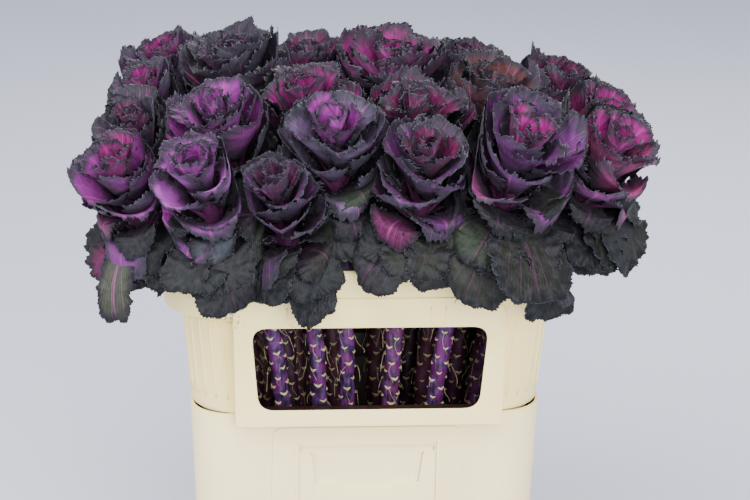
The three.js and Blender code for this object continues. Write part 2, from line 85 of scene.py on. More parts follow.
def rounded_rectangle(half, corner, shrink=0):
    """Points of a rectangle with round corners, anticlockwise, in mm."""
    corner = corner - shrink
    centre = np.array(half) - shrink - corner
    arc = np.linspace(0, math.pi / 2, ARC_STEPS + 1)
    points = []
    for quarter, (sx, sy) in enumerate(QUARTERS):
        turn = arc + quarter * math.pi / 2
        x, y = sx * centre[0] + corner * np.cos(turn), sy * centre[1] + corner * np.sin(turn)
        points.append(np.stack([x, y], 1))
    return np.concatenate(points)


def new_mesh_object(name, points, faces):
    """A mesh object from points in mm and faces of any number of corners."""
    mesh = bpy.data.meshes.new(name)
    mesh.from_pydata((np.array(points) * MM).tolist(), [], [list(map(int, face)) for face in faces])
    made = bpy.data.objects.new(name, mesh)
    bpy.context.scene.collection.objects.link(made)
    return made


def skin(rows, around, turned=False):
    """Faces of a closed body whose points stand in rows, the two ends first, turned over if asked."""
    faces = [list(range(around))[::-1], [(rows - 1) * around + i for i in range(around)]]
    for row in range(rows - 1):
        for i in range(around):
            a, b = row * around + i, row * around + (i + 1) % around
            faces.append([a, b, b + around, a + around])
    return [face[:1] + face[:0:-1] for face in faces] if turned else faces


def loft(name, levels):
    """A closed body through outlines of equal point counts, each (z, points), from the bottom up."""
    points = [(x, y, z) for z, outline in levels for x, y in outline]
    return new_mesh_object(name, points, skin(len(levels), len(levels[0][1])))


def front_prism(name, outline, front, back):
    """A closed body: an outline in X and Z, anticlockwise from the front, pushed from front to back."""
    points = [(x, y, z) for y in (front, back) for x, z in outline]
    return new_mesh_object(name, points, skin(2, len(outline), turned=True))


def settle(piece):
    """Applies the modifiers of a piece to its mesh."""
    ready = piece.evaluated_get(bpy.context.evaluated_depsgraph_get())
    old = piece.data
    piece.data = bpy.data.meshes.new_from_object(ready)
    piece.modifiers.clear()
    bpy.data.meshes.remove(old)


def combine(body, operation, *tools):
    """Joins tools to a body, cuts them from it or keeps what they share, and removes them."""
    for tool in tools:
        change = body.modifiers.new("change", "BOOLEAN")
        change.operation = operation
        change.solver = "MANIFOLD"
        change.object = tool
        settle(body)
        bpy.data.objects.remove(tool)
    return body


def soften_edges(piece, width, steps=3, angle=28):
    """Rounds the edges as a mould does, then shades the piece smooth between the edges that are left."""
    bevel = piece.modifiers.new("round", "BEVEL")
    bevel.width = width * MM
    bevel.segments = steps
    bevel.limit_method = "ANGLE"
    bevel.angle_limit = math.radians(angle)
    settle(piece)
    piece.data.shade_smooth()
    piece.data.set_sharp_from_angle(angle=math.radians(angle))


def half_at(z, low, foot, high, top):
    """The half width and half depth of a tapered wall at a height, between its foot and its top."""
    share = (z - low) / (high - low)
    return [a + (b - a) * share for a, b in zip(foot, top)]


def bucket_half(z):
    return half_at(z, 0, BUCKET_FOOT, BUCKET_HEIGHT, BUCKET_MOUTH)


def rounded_outline(corners, radius, steps=8):
    """Straight-sided outline through corners (x, z), each rounded by a curve of about that radius."""
    corners = [np.array(corner, float) for corner in corners]
    points = []
    for i, here in enumerate(corners):
        before, after = corners[i - 1], corners[(i + 1) % len(corners)]
        reach = radius if np.isscalar(radius) else radius[i]
        start = here + (before - here) * reach / np.linalg.norm(before - here)
        end = here + (after - here) * reach / np.linalg.norm(after - here)
        for t in np.linspace(0, 1, steps):
            points.append((1 - t) ** 2 * start + 2 * t * (1 - t) * here + t ** 2 * end)
    return points


PANEL_HALF = 94
PANEL_LOW = 40
PANEL_HIGH = 236
PANEL_PROUD = 2.6
PANEL_CORNER = 12
PANEL_TAPER = 3
GRIP_HIGH = 217
GRIP_LOW = 178
GRIP_HALF_TOP = 65
GRIP_HALF_LOW = 50
GRIP_DEPTH = 2.8
GRIP_EDGE = 6
GRIP_SHOULDER = 8
GRIP_FLARE = 4
GRIP_CORNER = 2.2
LEDGE_HALF = 26
LEDGE_DROP = 7
LEDGE_TAPER = 2
POST_PROUD = 2
POST_AWAY = 3.5
POST_HALF = 1.6
POST_CORNER = 1.4
POST_FROM = PANEL_LOW + 8
POST_TO = GRIP_HIGH + 3
MOULD_ROUND = 0.9

bucket = loft("bucket", [
    (0, rounded_rectangle(BUCKET_FOOT, BUCKET_CORNER, FOOT_CHAMFER)),
    (FOOT_CHAMFER, rounded_rectangle(BUCKET_FOOT, BUCKET_CORNER)),
    (BUCKET_HEIGHT, rounded_rectangle(BUCKET_MOUTH, BUCKET_CORNER)),
])
hollow = loft("hollow", [
    (WALL, rounded_rectangle(bucket_half(WALL), BUCKET_CORNER, WALL)),
    (BUCKET_HEIGHT + LAP, rounded_rectangle(BUCKET_MOUTH, BUCKET_CORNER, WALL)),
])


def leaning_plate(name, outline, proud, deep):
    """A plate of that outline in X and Z that follows the slope of the bucket's front wall."""
    plate = front_prism(name, outline, -1, 1)
    for vertex in plate.data.vertices:
        wall = bucket_half(vertex.co.z / MM)[1]
        vertex.co.y = (-wall - proud if vertex.co.y < 0 else -wall + deep) * MM
    return plate


panel_corners = [(-PANEL_HALF, PANEL_LOW), (PANEL_HALF, PANEL_LOW),
                 (PANEL_HALF - PANEL_TAPER, PANEL_HIGH), (-PANEL_HALF + PANEL_TAPER, PANEL_HIGH)]
panel = leaning_plate("panel", rounded_outline(panel_corners, PANEL_CORNER), PANEL_PROUD, LAP)
grip_right = [
    (LEDGE_HALF - LEDGE_TAPER, GRIP_LOW - LEDGE_DROP), (LEDGE_HALF, GRIP_LOW - 1),
    (GRIP_HALF_LOW, GRIP_LOW), (GRIP_HALF_LOW + GRIP_FLARE, GRIP_HIGH - GRIP_SHOULDER),
    (GRIP_HALF_TOP, GRIP_HIGH - GRIP_EDGE), (GRIP_HALF_TOP, GRIP_HIGH),
]
grip_left = [(-x, z) for x, z in grip_right[::-1]]
grip_outline = rounded_outline(grip_right + grip_left, GRIP_CORNER, 4)
grip = leaning_plate("grip", grip_outline, PANEL_PROUD + 4, GRIP_DEPTH - PANEL_PROUD)
combine(bucket, "UNION", panel)
combine(bucket, "DIFFERENCE", hollow, grip)
for side in (-1, 1):
    post_x = side * (GRIP_HALF_TOP + POST_AWAY)
    post_corners = [(post_x - POST_HALF, POST_FROM), (post_x + POST_HALF, POST_FROM),
                    (post_x + POST_HALF, POST_TO), (post_x - POST_HALF, POST_TO)]
    post_outline = rounded_outline(post_corners, POST_CORNER, 4)
    post = leaning_plate("post", post_outline, PANEL_PROUD + POST_PROUD, 0)
    combine(bucket, "UNION", post)
soften_edges(bucket, MOULD_ROUND)


def linear(hex_colour):
    """An sRGB hex colour as the linear values that the nodes take."""
    parts = [int(hex_colour[i:i + 2], 16) / 255 for i in (1, 3, 5)]
    return [p / 12.92 if p <= 0.04045 else ((p + 0.055) / 1.055) ** 2.4 for p in parts] + [1]


def feed(node, inputs):
    """Sets the inputs of a node to values, or links them to the outputs of other nodes."""
    for key, value in inputs.items():
        if isinstance(value, bpy.types.NodeSocket):
            node.id_data.links.new(value, node.inputs[key])
        else:
            node.inputs[key].default_value = value


def add(tree, kind, inputs=None, output=0, **settings):
    """Adds a node with its settings, sets or links its inputs, and returns one of its outputs."""
    node = tree.nodes.new("ShaderNode" + kind)
    for name, value in settings.items():
        setattr(node, name, value)
    feed(node, inputs or {})
    return node.outputs[output]


def new_material(name):
    material = bpy.data.materials.new(name)
    material.use_nodes = True
    return material, material.node_tree, material.node_tree.nodes["Principled BSDF"]


# Polypropylene, injection moulded and spark textured: satin, with an even grain, faint flow clouds, dust
# rubbed into it and a few dark scuffs. The real grain is a small fraction of a millimetre, too fine to
# show, so it is drawn coarser.
GRAIN_MM = 1.4
CLOUD_MM = 70
SCUFF_MM = 3
SCUFF_PLACE = (-140, -141, 359)
SCUFF_CORE = 6
SCUFF_REACH = 36
PALER_FROM = 270
PALER_BELOW = 235
SHADED_FLOOR_LOW = 252
SHADED_FLOOR_HIGH = 300
plastic, tree, shader = new_material("moulded_polypropylene")
place = add(tree, "TexCoord", output="Object")
clouds = add(tree, "TexNoise", {"Vector": place, "Scale": 1 / (CLOUD_MM * MM), "Detail": 4})
grain = add(tree, "TexNoise", {"Vector": place, "Scale": 1 / (GRAIN_MM * MM), "Detail": 2})
height_up = add(tree, "SeparateXYZ", {0: place}, 2)
paler = add(tree, "MapRange", {0: height_up, 1: PALER_FROM * MM, 2: PALER_BELOW * MM, 3: 0, 4: 0.7})
specks = add(tree, "TexNoise", {"Vector": place, "Scale": 1 / (SCUFF_MM * MM), "Detail": 6, "Roughness": 0.7})
away = add(tree, "VectorMath", {0: place, 1: [v * MM for v in SCUFF_PLACE]}, "Value", operation="DISTANCE")
near = add(tree, "MapRange", {0: away, 1: SCUFF_REACH * MM, 2: SCUFF_CORE * MM, 3: 0, 4: 0.3})
rubbed = add(tree, "Math", {0: specks, 1: near}, operation="ADD")
scuffed = add(tree, "MapRange", {0: rubbed, 1: 0.735, 2: 0.80, 3: 0, 4: 0.75})
dust = add(tree, "MapRange", {0: specks, 1: 0.58, 2: 0.75, 3: 0, 4: 0.22})
# Faces marked inside are painted dark red-brown: painted shade inside the bucket and collar, where stems and
# heads keep the light out.
inside = add(tree, "Attribute", output="Fac", attribute_name="inside")
layers = [
    (clouds, "#feeba6"), (paler, "#feecb6"), (scuffed, "#4f4a40"), (dust, "#cbbf9f"), (inside, "#2c1812"),
]
tint = linear("#f5df90")
for share, over in layers:
    tint = add(tree, "Mix", {0: share, 6: tint, 7: linear(over)}, 2, data_type="RGBA")
gloss = add(tree, "MapRange", {0: clouds, 1: 0.3, 2: 0.7, 3: 0.42, 4: 0.55})
bumps = add(tree, "Bump", {"Height": grain, "Strength": 0.12, "Distance": 0.2 * MM})
feed(shader, {
    "Base Color": tint, "Roughness": gloss, "Normal": bumps, "IOR": 1.49, "Specular IOR Level": 0.35,
})


def mark(mesh, name, values, domain="POINT"):
    """Keeps a value or a colour for every point or face of a mesh, for its material to read."""
    values = np.asarray(values, np.float32)
    is_colour = values.ndim == 2
    attribute = mesh.attributes.new(name, "FLOAT_COLOR" if is_colour else "FLOAT", domain)
    attribute.data.foreach_set("color" if is_colour else "value", values.ravel())


def mark_shaded_inside(piece):
    """Marks the faces that look inwards or up from a floor, which the plastic paints dark as painted shade
    inside.
    """
    inner = []
    for face in piece.data.polygons:
        middle, normal = face.center, face.normal
        looks_in = middle.x * normal.x + middle.y * normal.y < -0.2 * math.hypot(middle.x, middle.y)
        is_floor = normal.z > 0.9 and SHADED_FLOOR_LOW * MM < middle.z < SHADED_FLOOR_HIGH * MM
        inner.append(float(looks_in or is_floor))
    mark(piece.data, "inside", inner, "FACE")


mark_shaded_inside(bucket)
bucket.data.materials.clear()
bucket.data.materials.append(plastic)
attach(bucket, "root")
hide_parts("bucket")


# Collar
# The upper ring, moulded in the same plastic. It stands on the bucket's mouth and holds the heads up:
# a wide rim band, a narrower wall with ribbed corners, and a boxy bay with a window in front.
RIM_TOP = 402
BAND_LOW = 354
BAND_HIGH_HALF = (200, 150)
BAND_LOW_HALF = (194, 144)
BAND_CORNER = 62
SIDE_TOP = (177, 127)
SIDE_FOOT = (168, 118)
SIDE_CORNER = 50
INSERT_HALF = (160, 111)
INSERT_CORNER = 40
INSERT_DROP = 22
BAY_TOP = (130, 149.5)
BAY_FOOT = (127, 139)
BAY_SHOULDER = 28
BAY_HIGH = 374
APRON_DROP = 6
REST_GAP = 0.3
COLLAR_SEAT = BUCKET_HEIGHT + REST_GAP
WINDOW_HALF_TOP = 112
WINDOW_HALF_LOW = 105
WINDOW_LOW = 261
WINDOW_HIGH = 345
WINDOW_CORNER = 15
RIM_EASING = (3, 1.5)  # how far down and in the rim's upper edge is eased
INSERT_TAPER = 3
BAY_FLARE = (9, 0.5)  # how much wider than the bay its outline is at the seat and at the shoulders
BAY_REACH = 5
APRON_CORNER = 4
WINDOW_DEPTH = 25
COLLAR_ROUND = 1.1


def bay_half(z):
    """The half width of the bay and how far out its face stands, at a height."""
    return half_at(z, COLLAR_SEAT, BAY_FOOT, RIM_TOP, BAY_TOP)


def bay(name, side, shrink, low, high):
    """The boxy bay on one side, from the collar's middle out to its face."""
    levels = []
    for z in (low, high):
        x, y = (half - shrink for half in bay_half(z))
        near_y, far_y = min(0, side * y), max(0, side * y)
        levels.append((z, [(-x, near_y), (x, near_y), (x, far_y), (-x, far_y)]))
    return loft(name, levels)


collar = loft("collar", [
    (COLLAR_SEAT, rounded_rectangle(SIDE_FOOT, SIDE_CORNER)),
    (BAND_LOW + LAP, rounded_rectangle(SIDE_TOP, SIDE_CORNER)),
])
band = loft("band", [
    (BAND_LOW, rounded_rectangle(BAND_LOW_HALF, BAND_CORNER)),
    (RIM_TOP - RIM_EASING[0], rounded_rectangle(BAND_HIGH_HALF, BAND_CORNER)),
    (RIM_TOP, rounded_rectangle(BAND_HIGH_HALF, BAND_CORNER, RIM_EASING[1])),
])
insert = loft("insert", [
    (BUCKET_HEIGHT - INSERT_DROP, rounded_rectangle(INSERT_HALF, INSERT_CORNER, INSERT_TAPER)),
    (COLLAR_SEAT + LAP, rounded_rectangle(INSERT_HALF, INSERT_CORNER)),
])
combine(collar, "UNION", band, insert)
insert_room = loft("insert_room", [
    (BUCKET_HEIGHT - INSERT_DROP - LAP, rounded_rectangle(INSERT_HALF, INSERT_CORNER, INSERT_TAPER + WALL)),
    (COLLAR_SEAT + WALL + LAP, rounded_rectangle(INSERT_HALF, INSERT_CORNER, WALL)),
])
side_room = loft("side_room", [
    (COLLAR_SEAT + WALL, rounded_rectangle(SIDE_FOOT, SIDE_CORNER, WALL)),
    (BAND_LOW + WALL + LAP, rounded_rectangle(SIDE_TOP, SIDE_CORNER, WALL)),
])
band_room = loft("band_room", [
    (BAND_LOW + WALL, rounded_rectangle(BAND_LOW_HALF, BAND_CORNER, WALL)),
    (RIM_TOP + LAP, rounded_rectangle(BAND_HIGH_HALF, BAND_CORNER, WALL)),
])
bay_low_x, bay_high_x = (BAY_TOP[0] + flare for flare in BAY_FLARE)
bay_corners = [(-bay_low_x, COLLAR_SEAT - LAP), (bay_low_x, COLLAR_SEAT - LAP),
               (bay_high_x, BAY_HIGH), (-bay_high_x, BAY_HIGH)]
shoulders = rounded_outline(bay_corners, (1, 1, BAY_SHOULDER, BAY_SHOULDER), 12)
apron_corners = [
    (-BAY_FOOT[0], BUCKET_HEIGHT - APRON_DROP), (BAY_FOOT[0], BUCKET_HEIGHT - APRON_DROP),
    (BAY_FOOT[0], COLLAR_SEAT + LAP), (-BAY_FOOT[0], COLLAR_SEAT + LAP),
]
apron_outline = rounded_outline(apron_corners, (APRON_CORNER, APRON_CORNER, 0.5, 0.5), 6)
for side in (-1, 1):
    face_y = side * (BAY_TOP[1] + BAY_REACH)
    shape = front_prism("shape", shoulders, min(0, face_y), max(0, face_y))
    boxy = combine(bay("bay", side, 0, COLLAR_SEAT, RIM_TOP), "INTERSECT", shape)
    combine(collar, "UNION", boxy)
    apron_y = side * (BAY_FOOT[1] - WALL / 2)
    apron = front_prism("apron", apron_outline, apron_y - WALL / 2, apron_y + WALL / 2)
    combine(collar, "UNION", apron)
combine(collar, "DIFFERENCE", insert_room, side_room, band_room)
for side in (-1, 1):
    combine(collar, "DIFFERENCE", bay("bay_room", side, WALL, COLLAR_SEAT + WALL, RIM_TOP + LAP))
window_corners = [(-WINDOW_HALF_LOW, WINDOW_LOW), (WINDOW_HALF_LOW, WINDOW_LOW),
                  (WINDOW_HALF_TOP, WINDOW_HIGH), (-WINDOW_HALF_TOP, WINDOW_HIGH)]
window_outline = rounded_outline(window_corners, WINDOW_CORNER)
window_front = -BAY_TOP[1] - BAY_REACH
window = front_prism("window", window_outline, window_front, window_front + WINDOW_DEPTH)
combine(collar, "DIFFERENCE", window)
soften_edges(collar, COLLAR_ROUND)
mark_shaded_inside(collar)
collar.data.materials.clear()
collar.data.materials.append(plastic)
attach(collar, "root")
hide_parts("collar")

# Ribs and moulded loops of the collar
# Upright ribs stiffen the four round corners under the band, and two small plain loops are raised on
# the front bay. All are moulded in one with the collar.
RIB_LOW = 264
RIB_HIGH = 344
RIB_SPREAD = 7
RIB_COUNT = 7
RIB_HALF = 1.5
RIB_PROUD = 0.9
LOOP_AT = (-72, 64)
LOOP_HALF = 7
LOOP_HIGH = 366
LOOP_LOW = 353
LOOP_WIRE = 1.1
LOOP_PROUD = 0.9
SHOULDER_HALF = 1
SHOULDER_PROUD = 0.55
SHOULDER_STEPS = 14


def swept(path, normals, half_width, proud, sunk=0.6):
    """Points and faces of a low rounded ridge along a path on a wall, closed at both ends."""
    path, normals = np.array(path, float), np.array(normals, float)
    along = np.gradient(path, axis=0)
    along /= np.linalg.norm(along, axis=1)[:, None]
    across = np.cross(along, normals)
    section = [(-1, -sunk), (-0.75, 0.55 * proud), (-0.35, 0.92 * proud), (0, proud),
               (0.35, 0.92 * proud), (0.75, 0.55 * proud), (1, -sunk)]
    rows = [path + across * half_width * x + normals * lift for x, lift in section]
    return np.stack(rows, 1).reshape(-1, 3), skin(len(path), len(section), turned=True)


def gather(parts):
    """Several (points, faces) in one."""
    points, faces, start = [], [], 0
    for some, their in parts:
        points.append(some)
        faces += [[start + i for i in face] for face in their]
        start += len(some)
    return np.concatenate(points), faces


def on_corner(sx, sy, turn, z):
    """A point on one of the collar's round corners and the way out from there."""
    half = half_at(z, COLLAR_SEAT, SIDE_FOOT, BAND_LOW, SIDE_TOP)
    normal = np.array([sx * math.cos(turn), sy * math.sin(turn), 0])
    centre = np.array([sx * (half[0] - SIDE_CORNER), sy * (half[1] - SIDE_CORNER), z])
    return centre + normal * SIDE_CORNER, normal


ridges = []
for sx, sy in QUARTERS:
    for k in range(RIB_COUNT):
        turn = math.radians(45 + (k - (RIB_COUNT - 1) / 2) * 2 * RIB_SPREAD)
        rows, normals = zip(*(on_corner(sx, sy, turn, z) for z in np.linspace(RIB_LOW, RIB_HIGH, 9)))
        ridges.append(swept(rows, normals, RIB_HALF, RIB_PROUD))
for x in LOOP_AT:
    angles = np.linspace(math.pi, 2 * math.pi, 13)
    rows = [(x - LOOP_HALF, LOOP_HIGH)]
    rows += [(x + LOOP_HALF * math.cos(a), LOOP_LOW + LOOP_HALF * math.sin(a)) for a in angles]
    rows += [(x + LOOP_HALF, LOOP_HIGH)]
    path = [(px, -bay_half(pz)[1], pz) for px, pz in rows]
    ridges.append(swept(path, [(0, -1, 0)] * len(path), LOOP_WIRE, LOOP_PROUD))
for sx, sy in QUARTERS:
    turns = np.linspace(math.radians(4), math.radians(86), 30)
    rows, normals = zip(*(on_corner(sx, sy, turn, RIB_HIGH) for turn in turns))
    ridges.append(swept(rows, normals, RIB_HALF, RIB_PROUD))
for side in (-1, 1):
    line_x, line_low = BAY_TOP[0] - 1, BAND_LOW + 4
    line = [(-line_x, line_low), (-line_x, BAY_HIGH), (line_x, BAY_HIGH), (line_x, line_low)]
    corner = rounded_outline(line, (0.1, BAY_SHOULDER, BAY_SHOULDER, 0.1), SHOULDER_STEPS)
    path = [(px, side * bay_half(pz)[1], pz) for px, pz in corner[SHOULDER_STEPS:-SHOULDER_STEPS]]
    ridges.append(swept(path, [(0, side, 0)] * len(path), SHOULDER_HALF, SHOULDER_PROUD))
relief = new_mesh_object("collar_ribs", *gather(ridges))
relief.data.shade_smooth()
relief.data.materials.append(plastic)
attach(relief, "root")


# Water
# Still water in the bottom of the bucket, which the cut stems stand in: nearly colourless, with a
# smooth, faintly rippled surface. The CAD solid already has its shape.
RIPPLE_MM = 40
water, tree, shader = new_material("still_water")
ripples = add(tree, "TexNoise", {"Scale": 1 / (RIPPLE_MM * MM), "Detail": 1})
bumps = add(tree, "Bump", {"Height": ripples, "Strength": 0.1, "Distance": 0.3 * MM})
feed(shader, {
    "Base Color": linear("#dfe9e4"), "Roughness": 0.03, "Normal": bumps, "IOR": 1.33,
    "Transmission Weight": 1,
})
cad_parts["water"].data.materials.clear()
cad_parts["water"].data.materials.append(water)


# Heads
# Each head is the rosette at the top of one kale plant, cut with its stem: a tight heart, a cup round it
# and wide outer leaves. The heads press against each other, and the outermost ones hang over the rim.
# For each: its middle, its width, the turn of its leaves, how many leaves hang from it over the rim, and
# the colours of its heart, its cup and its outer leaves.
HEADS = [
    ((-228, -115, 475), 86, 144, 3, "magenta", "berry", "plum"),
    ((-156, -163, 487), 86, 9, 3, "berry", "orchid", "plum"),
    ((-86, -156, 469), 78, 144, 3, "wine", "plum", "dusk"),
    ((-33, -125, 507), 96, 252, 2, "berry", "lilac", "lilac"),
    ((47, -158, 495), 90, 108, 3, "crimson", "plum", "dusk"),
    ((131, -160, 504), 105, 270, 4, "magenta", "violet", "plum"),
    ((220, -105, 490), 94, 288, 4, "magenta", "rose", "plum"),
    ((-214, -20, 490), 86, 27, 2, "crimson", "dusk", "moss"),
    ((-137, -62, 507), 94, 207, 0, "berry", "berry", "moss"),
    ((-52, -20, 508), 98, 9, 0, "magenta", "magenta", "plum"),
    ((48, -50, 502), 98, 9, 0, "crimson", "crimson", "dusk"),
    ((125, 15, 511), 94, 162, 0, "russet", "russet", "moss"),
    ((226, -5, 488), 94, 324, 3, "magenta", "crimson", "dusk"),
    ((-206, 65, 507), 82, 72, 3, "magenta", "plum", "dusk"),
    ((196, 80, 500), 94, 243, 3, "crimson", "crimson", "dusk"),
    ((-188, 140, 520), 86, 72, 4, "magenta", "violet", "plum"),
    ((-119, 70, 521), 108, 324, 0, "wine", "slate", "slate"),
    ((-46, 135, 516), 86, 81, 4, "wine", "crimson", "dusk"),
    ((35, 85, 519), 108, 36, 0, "magenta", "magenta", "plum"),
    ((107, 140, 514), 86, 288, 4, "wine", "wine", "moss"),
]
# By head: the way its hanging leaves point, in degrees, where that isn't straight out, how much shorter or
# longer than usual they are, and how much longer than the others the second one is.
LEANS_TO = {1: -125, 4: -93}
DROP = {1: 0.8, 2: 0.85, 3: 0.88, 6: 1.08, 7: 0.85, 8: 0.85, 16: 1.2, 18: 1.25, 20: 1.2}
LONGEST = {1: 1.75}
LEAF_COLOURS = {
    "orchid": "#8e4294", "berry": "#762474", "violet": "#5c2464", "magenta": "#76125c", "rose": "#7e2c5a",
    "garnet": "#4c1038", "lilac": "#4c4058", "plum": "#42204a", "crimson": "#54103a", "wine": "#340e2a",
    "dusk": "#2a222f", "slate": "#121516", "moss": "#13170f", "russet": "#4e302a", "pewter": "#30383c",
    "fern": "#182616", "sage": "#2a3124",
}
# Single leaves that differ from their kind, by head, kind and place: their colour, and how pink their
# veins are.
SINGLE_LEAVES = {
    (1, "hanging", 1): ("sage", 0.3), (1, "apron", 1): ("garnet", 0.4), (1, "skirt", 0): ("garnet", 0.4),
    (1, "outer", 4): ("plum", 0.2), (2, "skirt", 4): ("pewter", 0.1), (2, "outer", 0): ("plum", 0.3),
    (2, "outer", 2): ("berry", 0.4), (3, "skirt", 0): ("fern", 0.1), (4, "skirt", 0): ("fern", 0.1),
    (5, "skirt", 1): ("plum", 0.4), (5, "skirt", 3): ("garnet", 0.3), (6, "skirt", 7): ("fern", 0.1),
    (6, "outer", 3): ("rose", 0.9), (6, "outer", 1): ("berry", 0.5), (7, "outer", 1): ("rose", 0.7),
    (7, "outer", 3): ("berry", 0.6), (7, "outer", 4): ("rose", 0.7), (7, "apron", 1): ("fern", 0.2),
    (7, "apron", 3): ("fern", 0.1), (7, "hanging", 2): ("fern", 0.2), (13, "apron", 1): ("fern", 0.2),
    (13, "hanging", 1): ("fern", 0.1), (6, "apron", 0): ("fern", 0.1),
}
# A head keeps to a cell, a wedge that widens upwards from a point deep in the bucket.
CELL_FOCUS_Z = 100
CELL_LOW_Z = 432
CELL_GAP = 1.3
# Its skirt, apron and hanging leaves lap over the next cell, by a waved line.
LAP_OVER = 7
LAP_WAVE = 5
LAP_WAVE_MM = 8
FREE_REACH = 0.6
SQUEEZE_FROM = 0.7
RIM_POWER = 6
JUST_CLEAR = 1.02
CURL_RADIUS_LEAST = 10
LEAN_SIDEWAYS = 0.7
LEAN_IN_DEPTH = 0.42
LEAN_TO_VIEWER = 0.28
RIM_CLEARANCE = 9
RIM_EASE_ABOVE = 1
RIM_FLARE_BELOW = 0.45
HANG_CLEAR_FROM = 50
CLEARING_STEPS = 400
NOMINAL_WIDTH = 94
GOLDEN_ANGLE = math.radians(137.508)
HANGING_SPREAD = math.radians(55)
RIB_BITS = 12
BLADE_AHEAD = 0.38
ROOT_OUT = 4


def drawn(head, leaf, what):
    """A repeatable draw between -1 and 1."""
    mixed = math.sin(head * 127.1 + leaf * 311.7 + what * 74.7) * 43758.5453
    return 2 * (mixed - math.floor(mixed)) - 1


def site_of(at):
    return np.array([at[0], at[1]]) / (at[2] - CELL_FOCUS_Z)


def cell_of(number):
    """A head's own wedge of space between its neighbours, shared out by their widths."""
    at, width = HEADS[number][:2]
    site = site_of(at)
    sides, reaches = [], []
    for other, (their_at, their_width, *_) in enumerate(HEADS):
        if other == number:
            continue
        away = site_of(their_at) - site
        apart = np.linalg.norm(away)
        sides.append(away / apart)
        reaches.append(apart * width / (width + their_width))
    outwards = math.atan2(at[1], at[0])
    if number + 1 in LEANS_TO:
        outwards = math.radians(LEANS_TO[number + 1])
    return {"site": site, "sides": np.array(sides), "reaches": np.array(reaches), "outwards": outwards,
            "free": width * FREE_REACH}


def cell_height(z):
    return np.maximum(z, CELL_LOW_Z) - CELL_FOCUS_Z


def keep_in_cell(points, cell, towards=None, gap=CELL_GAP):
    """Presses points in towards a place in their cell as they near the cell's sides, or towards the
    cell's middle as they near the end of its free reach."""
    height = cell_height(points[:, 2])
    middle = cell["site"][None, :] * height[:, None]
    free = np.zeros(len(points)) if towards is not None else np.linalg.norm(points[:, :2] - middle, axis=1)
    towards = middle if towards is None else towards
    room = cell["reaches"][None, :] * height[:, None] - np.broadcast_to(gap, len(points))[:, None]
    used = (towards - middle) @ cell["sides"].T
    across = (points[:, :2] - towards) @ cell["sides"].T
    filled = np.maximum(np.max(across / np.maximum(room - used, 1), axis=1), free / cell["free"])
    left = 1 - SQUEEZE_FROM
    pressed = SQUEEZE_FROM + left * (1 - np.exp((SQUEEZE_FROM - filled) / left))
    scale = np.where(filled > SQUEEZE_FROM, pressed / np.maximum(filled, 1e-6), 1)
    kept = points.copy()
    kept[:, :2] = towards + (points[:, :2] - towards) * scale[:, None]
    return kept


def rim_share(points):
    """How far out points stand, where 1 is just clear of the rim at their height."""
    above = points[:, 2] - RIM_TOP
    off = RIM_CLEARANCE - above * np.where(above > 0, RIM_EASE_ABOVE, RIM_FLARE_BELOW)
    x, y = points[:, 0] / (BAND_HIGH_HALF[0] + off), points[:, 1] / (BAND_HIGH_HALF[1] + off)
    return (np.abs(x) ** RIM_POWER + np.abs(y) ** RIM_POWER) ** (1 / RIM_POWER)


def clear_of_rim(points):
    moved = points.copy()
    moved[:, :2] /= np.minimum(rim_share(points), 1)[:, None]
    return moved


def hang_clear(points, cell, gap):
    """Keeps points of a hanging leaf outside the rim and in their own cell."""
    height = cell_height(points[:, 2])
    towards = np.column_stack([cell["site"][None, :] * height[:, None], points[:, 2]])
    step = np.array([math.cos(cell["outwards"]), math.sin(cell["outwards"])])
    for _ in range(CLEARING_STEPS):
        inside = rim_share(towards) < JUST_CLEAR
        if not inside.any():
            break
        towards[inside, :2] += step
    return clear_of_rim(keep_in_cell(clear_of_rim(points), cell, towards[:, :2], gap))


def head_axes(at):
    """A head's own axis: it follows its cell part of the way out and faces a little to the front."""
    site = site_of(at)
    up = np.array([site[0] * LEAN_SIDEWAYS, site[1] * LEAN_IN_DEPTH - LEAN_TO_VIEWER, 1])
    up /= np.linalg.norm(up)
    right = np.array([1, 0, 0]) - up * up[0]
    right /= np.linalg.norm(right)
    return np.array(at, float), up, right, np.cross(up, right)


def rib_of(leaf):
    """The midrib of a leaf as it leaves the stalk: how far out, how far up, and how far it leans."""
    out, up, lean = [ROOT_OUT], [leaf["root_up"]], [leaf["root_lean"]]
    step = leaf["length"] / RIB_BITS
    for i in range(RIB_BITS):
        share = ((i + 0.5) / RIB_BITS) ** leaf["rib_bend"]
        lean.append(leaf["root_lean"] + (leaf["tip_lean"] - leaf["root_lean"]) * share)
        out.append(out[-1] + step * math.sin(lean[-1]))
        up.append(up[-1] + step * math.cos(lean[-1]))
    return np.array(out), np.array(up), np.array(lean)


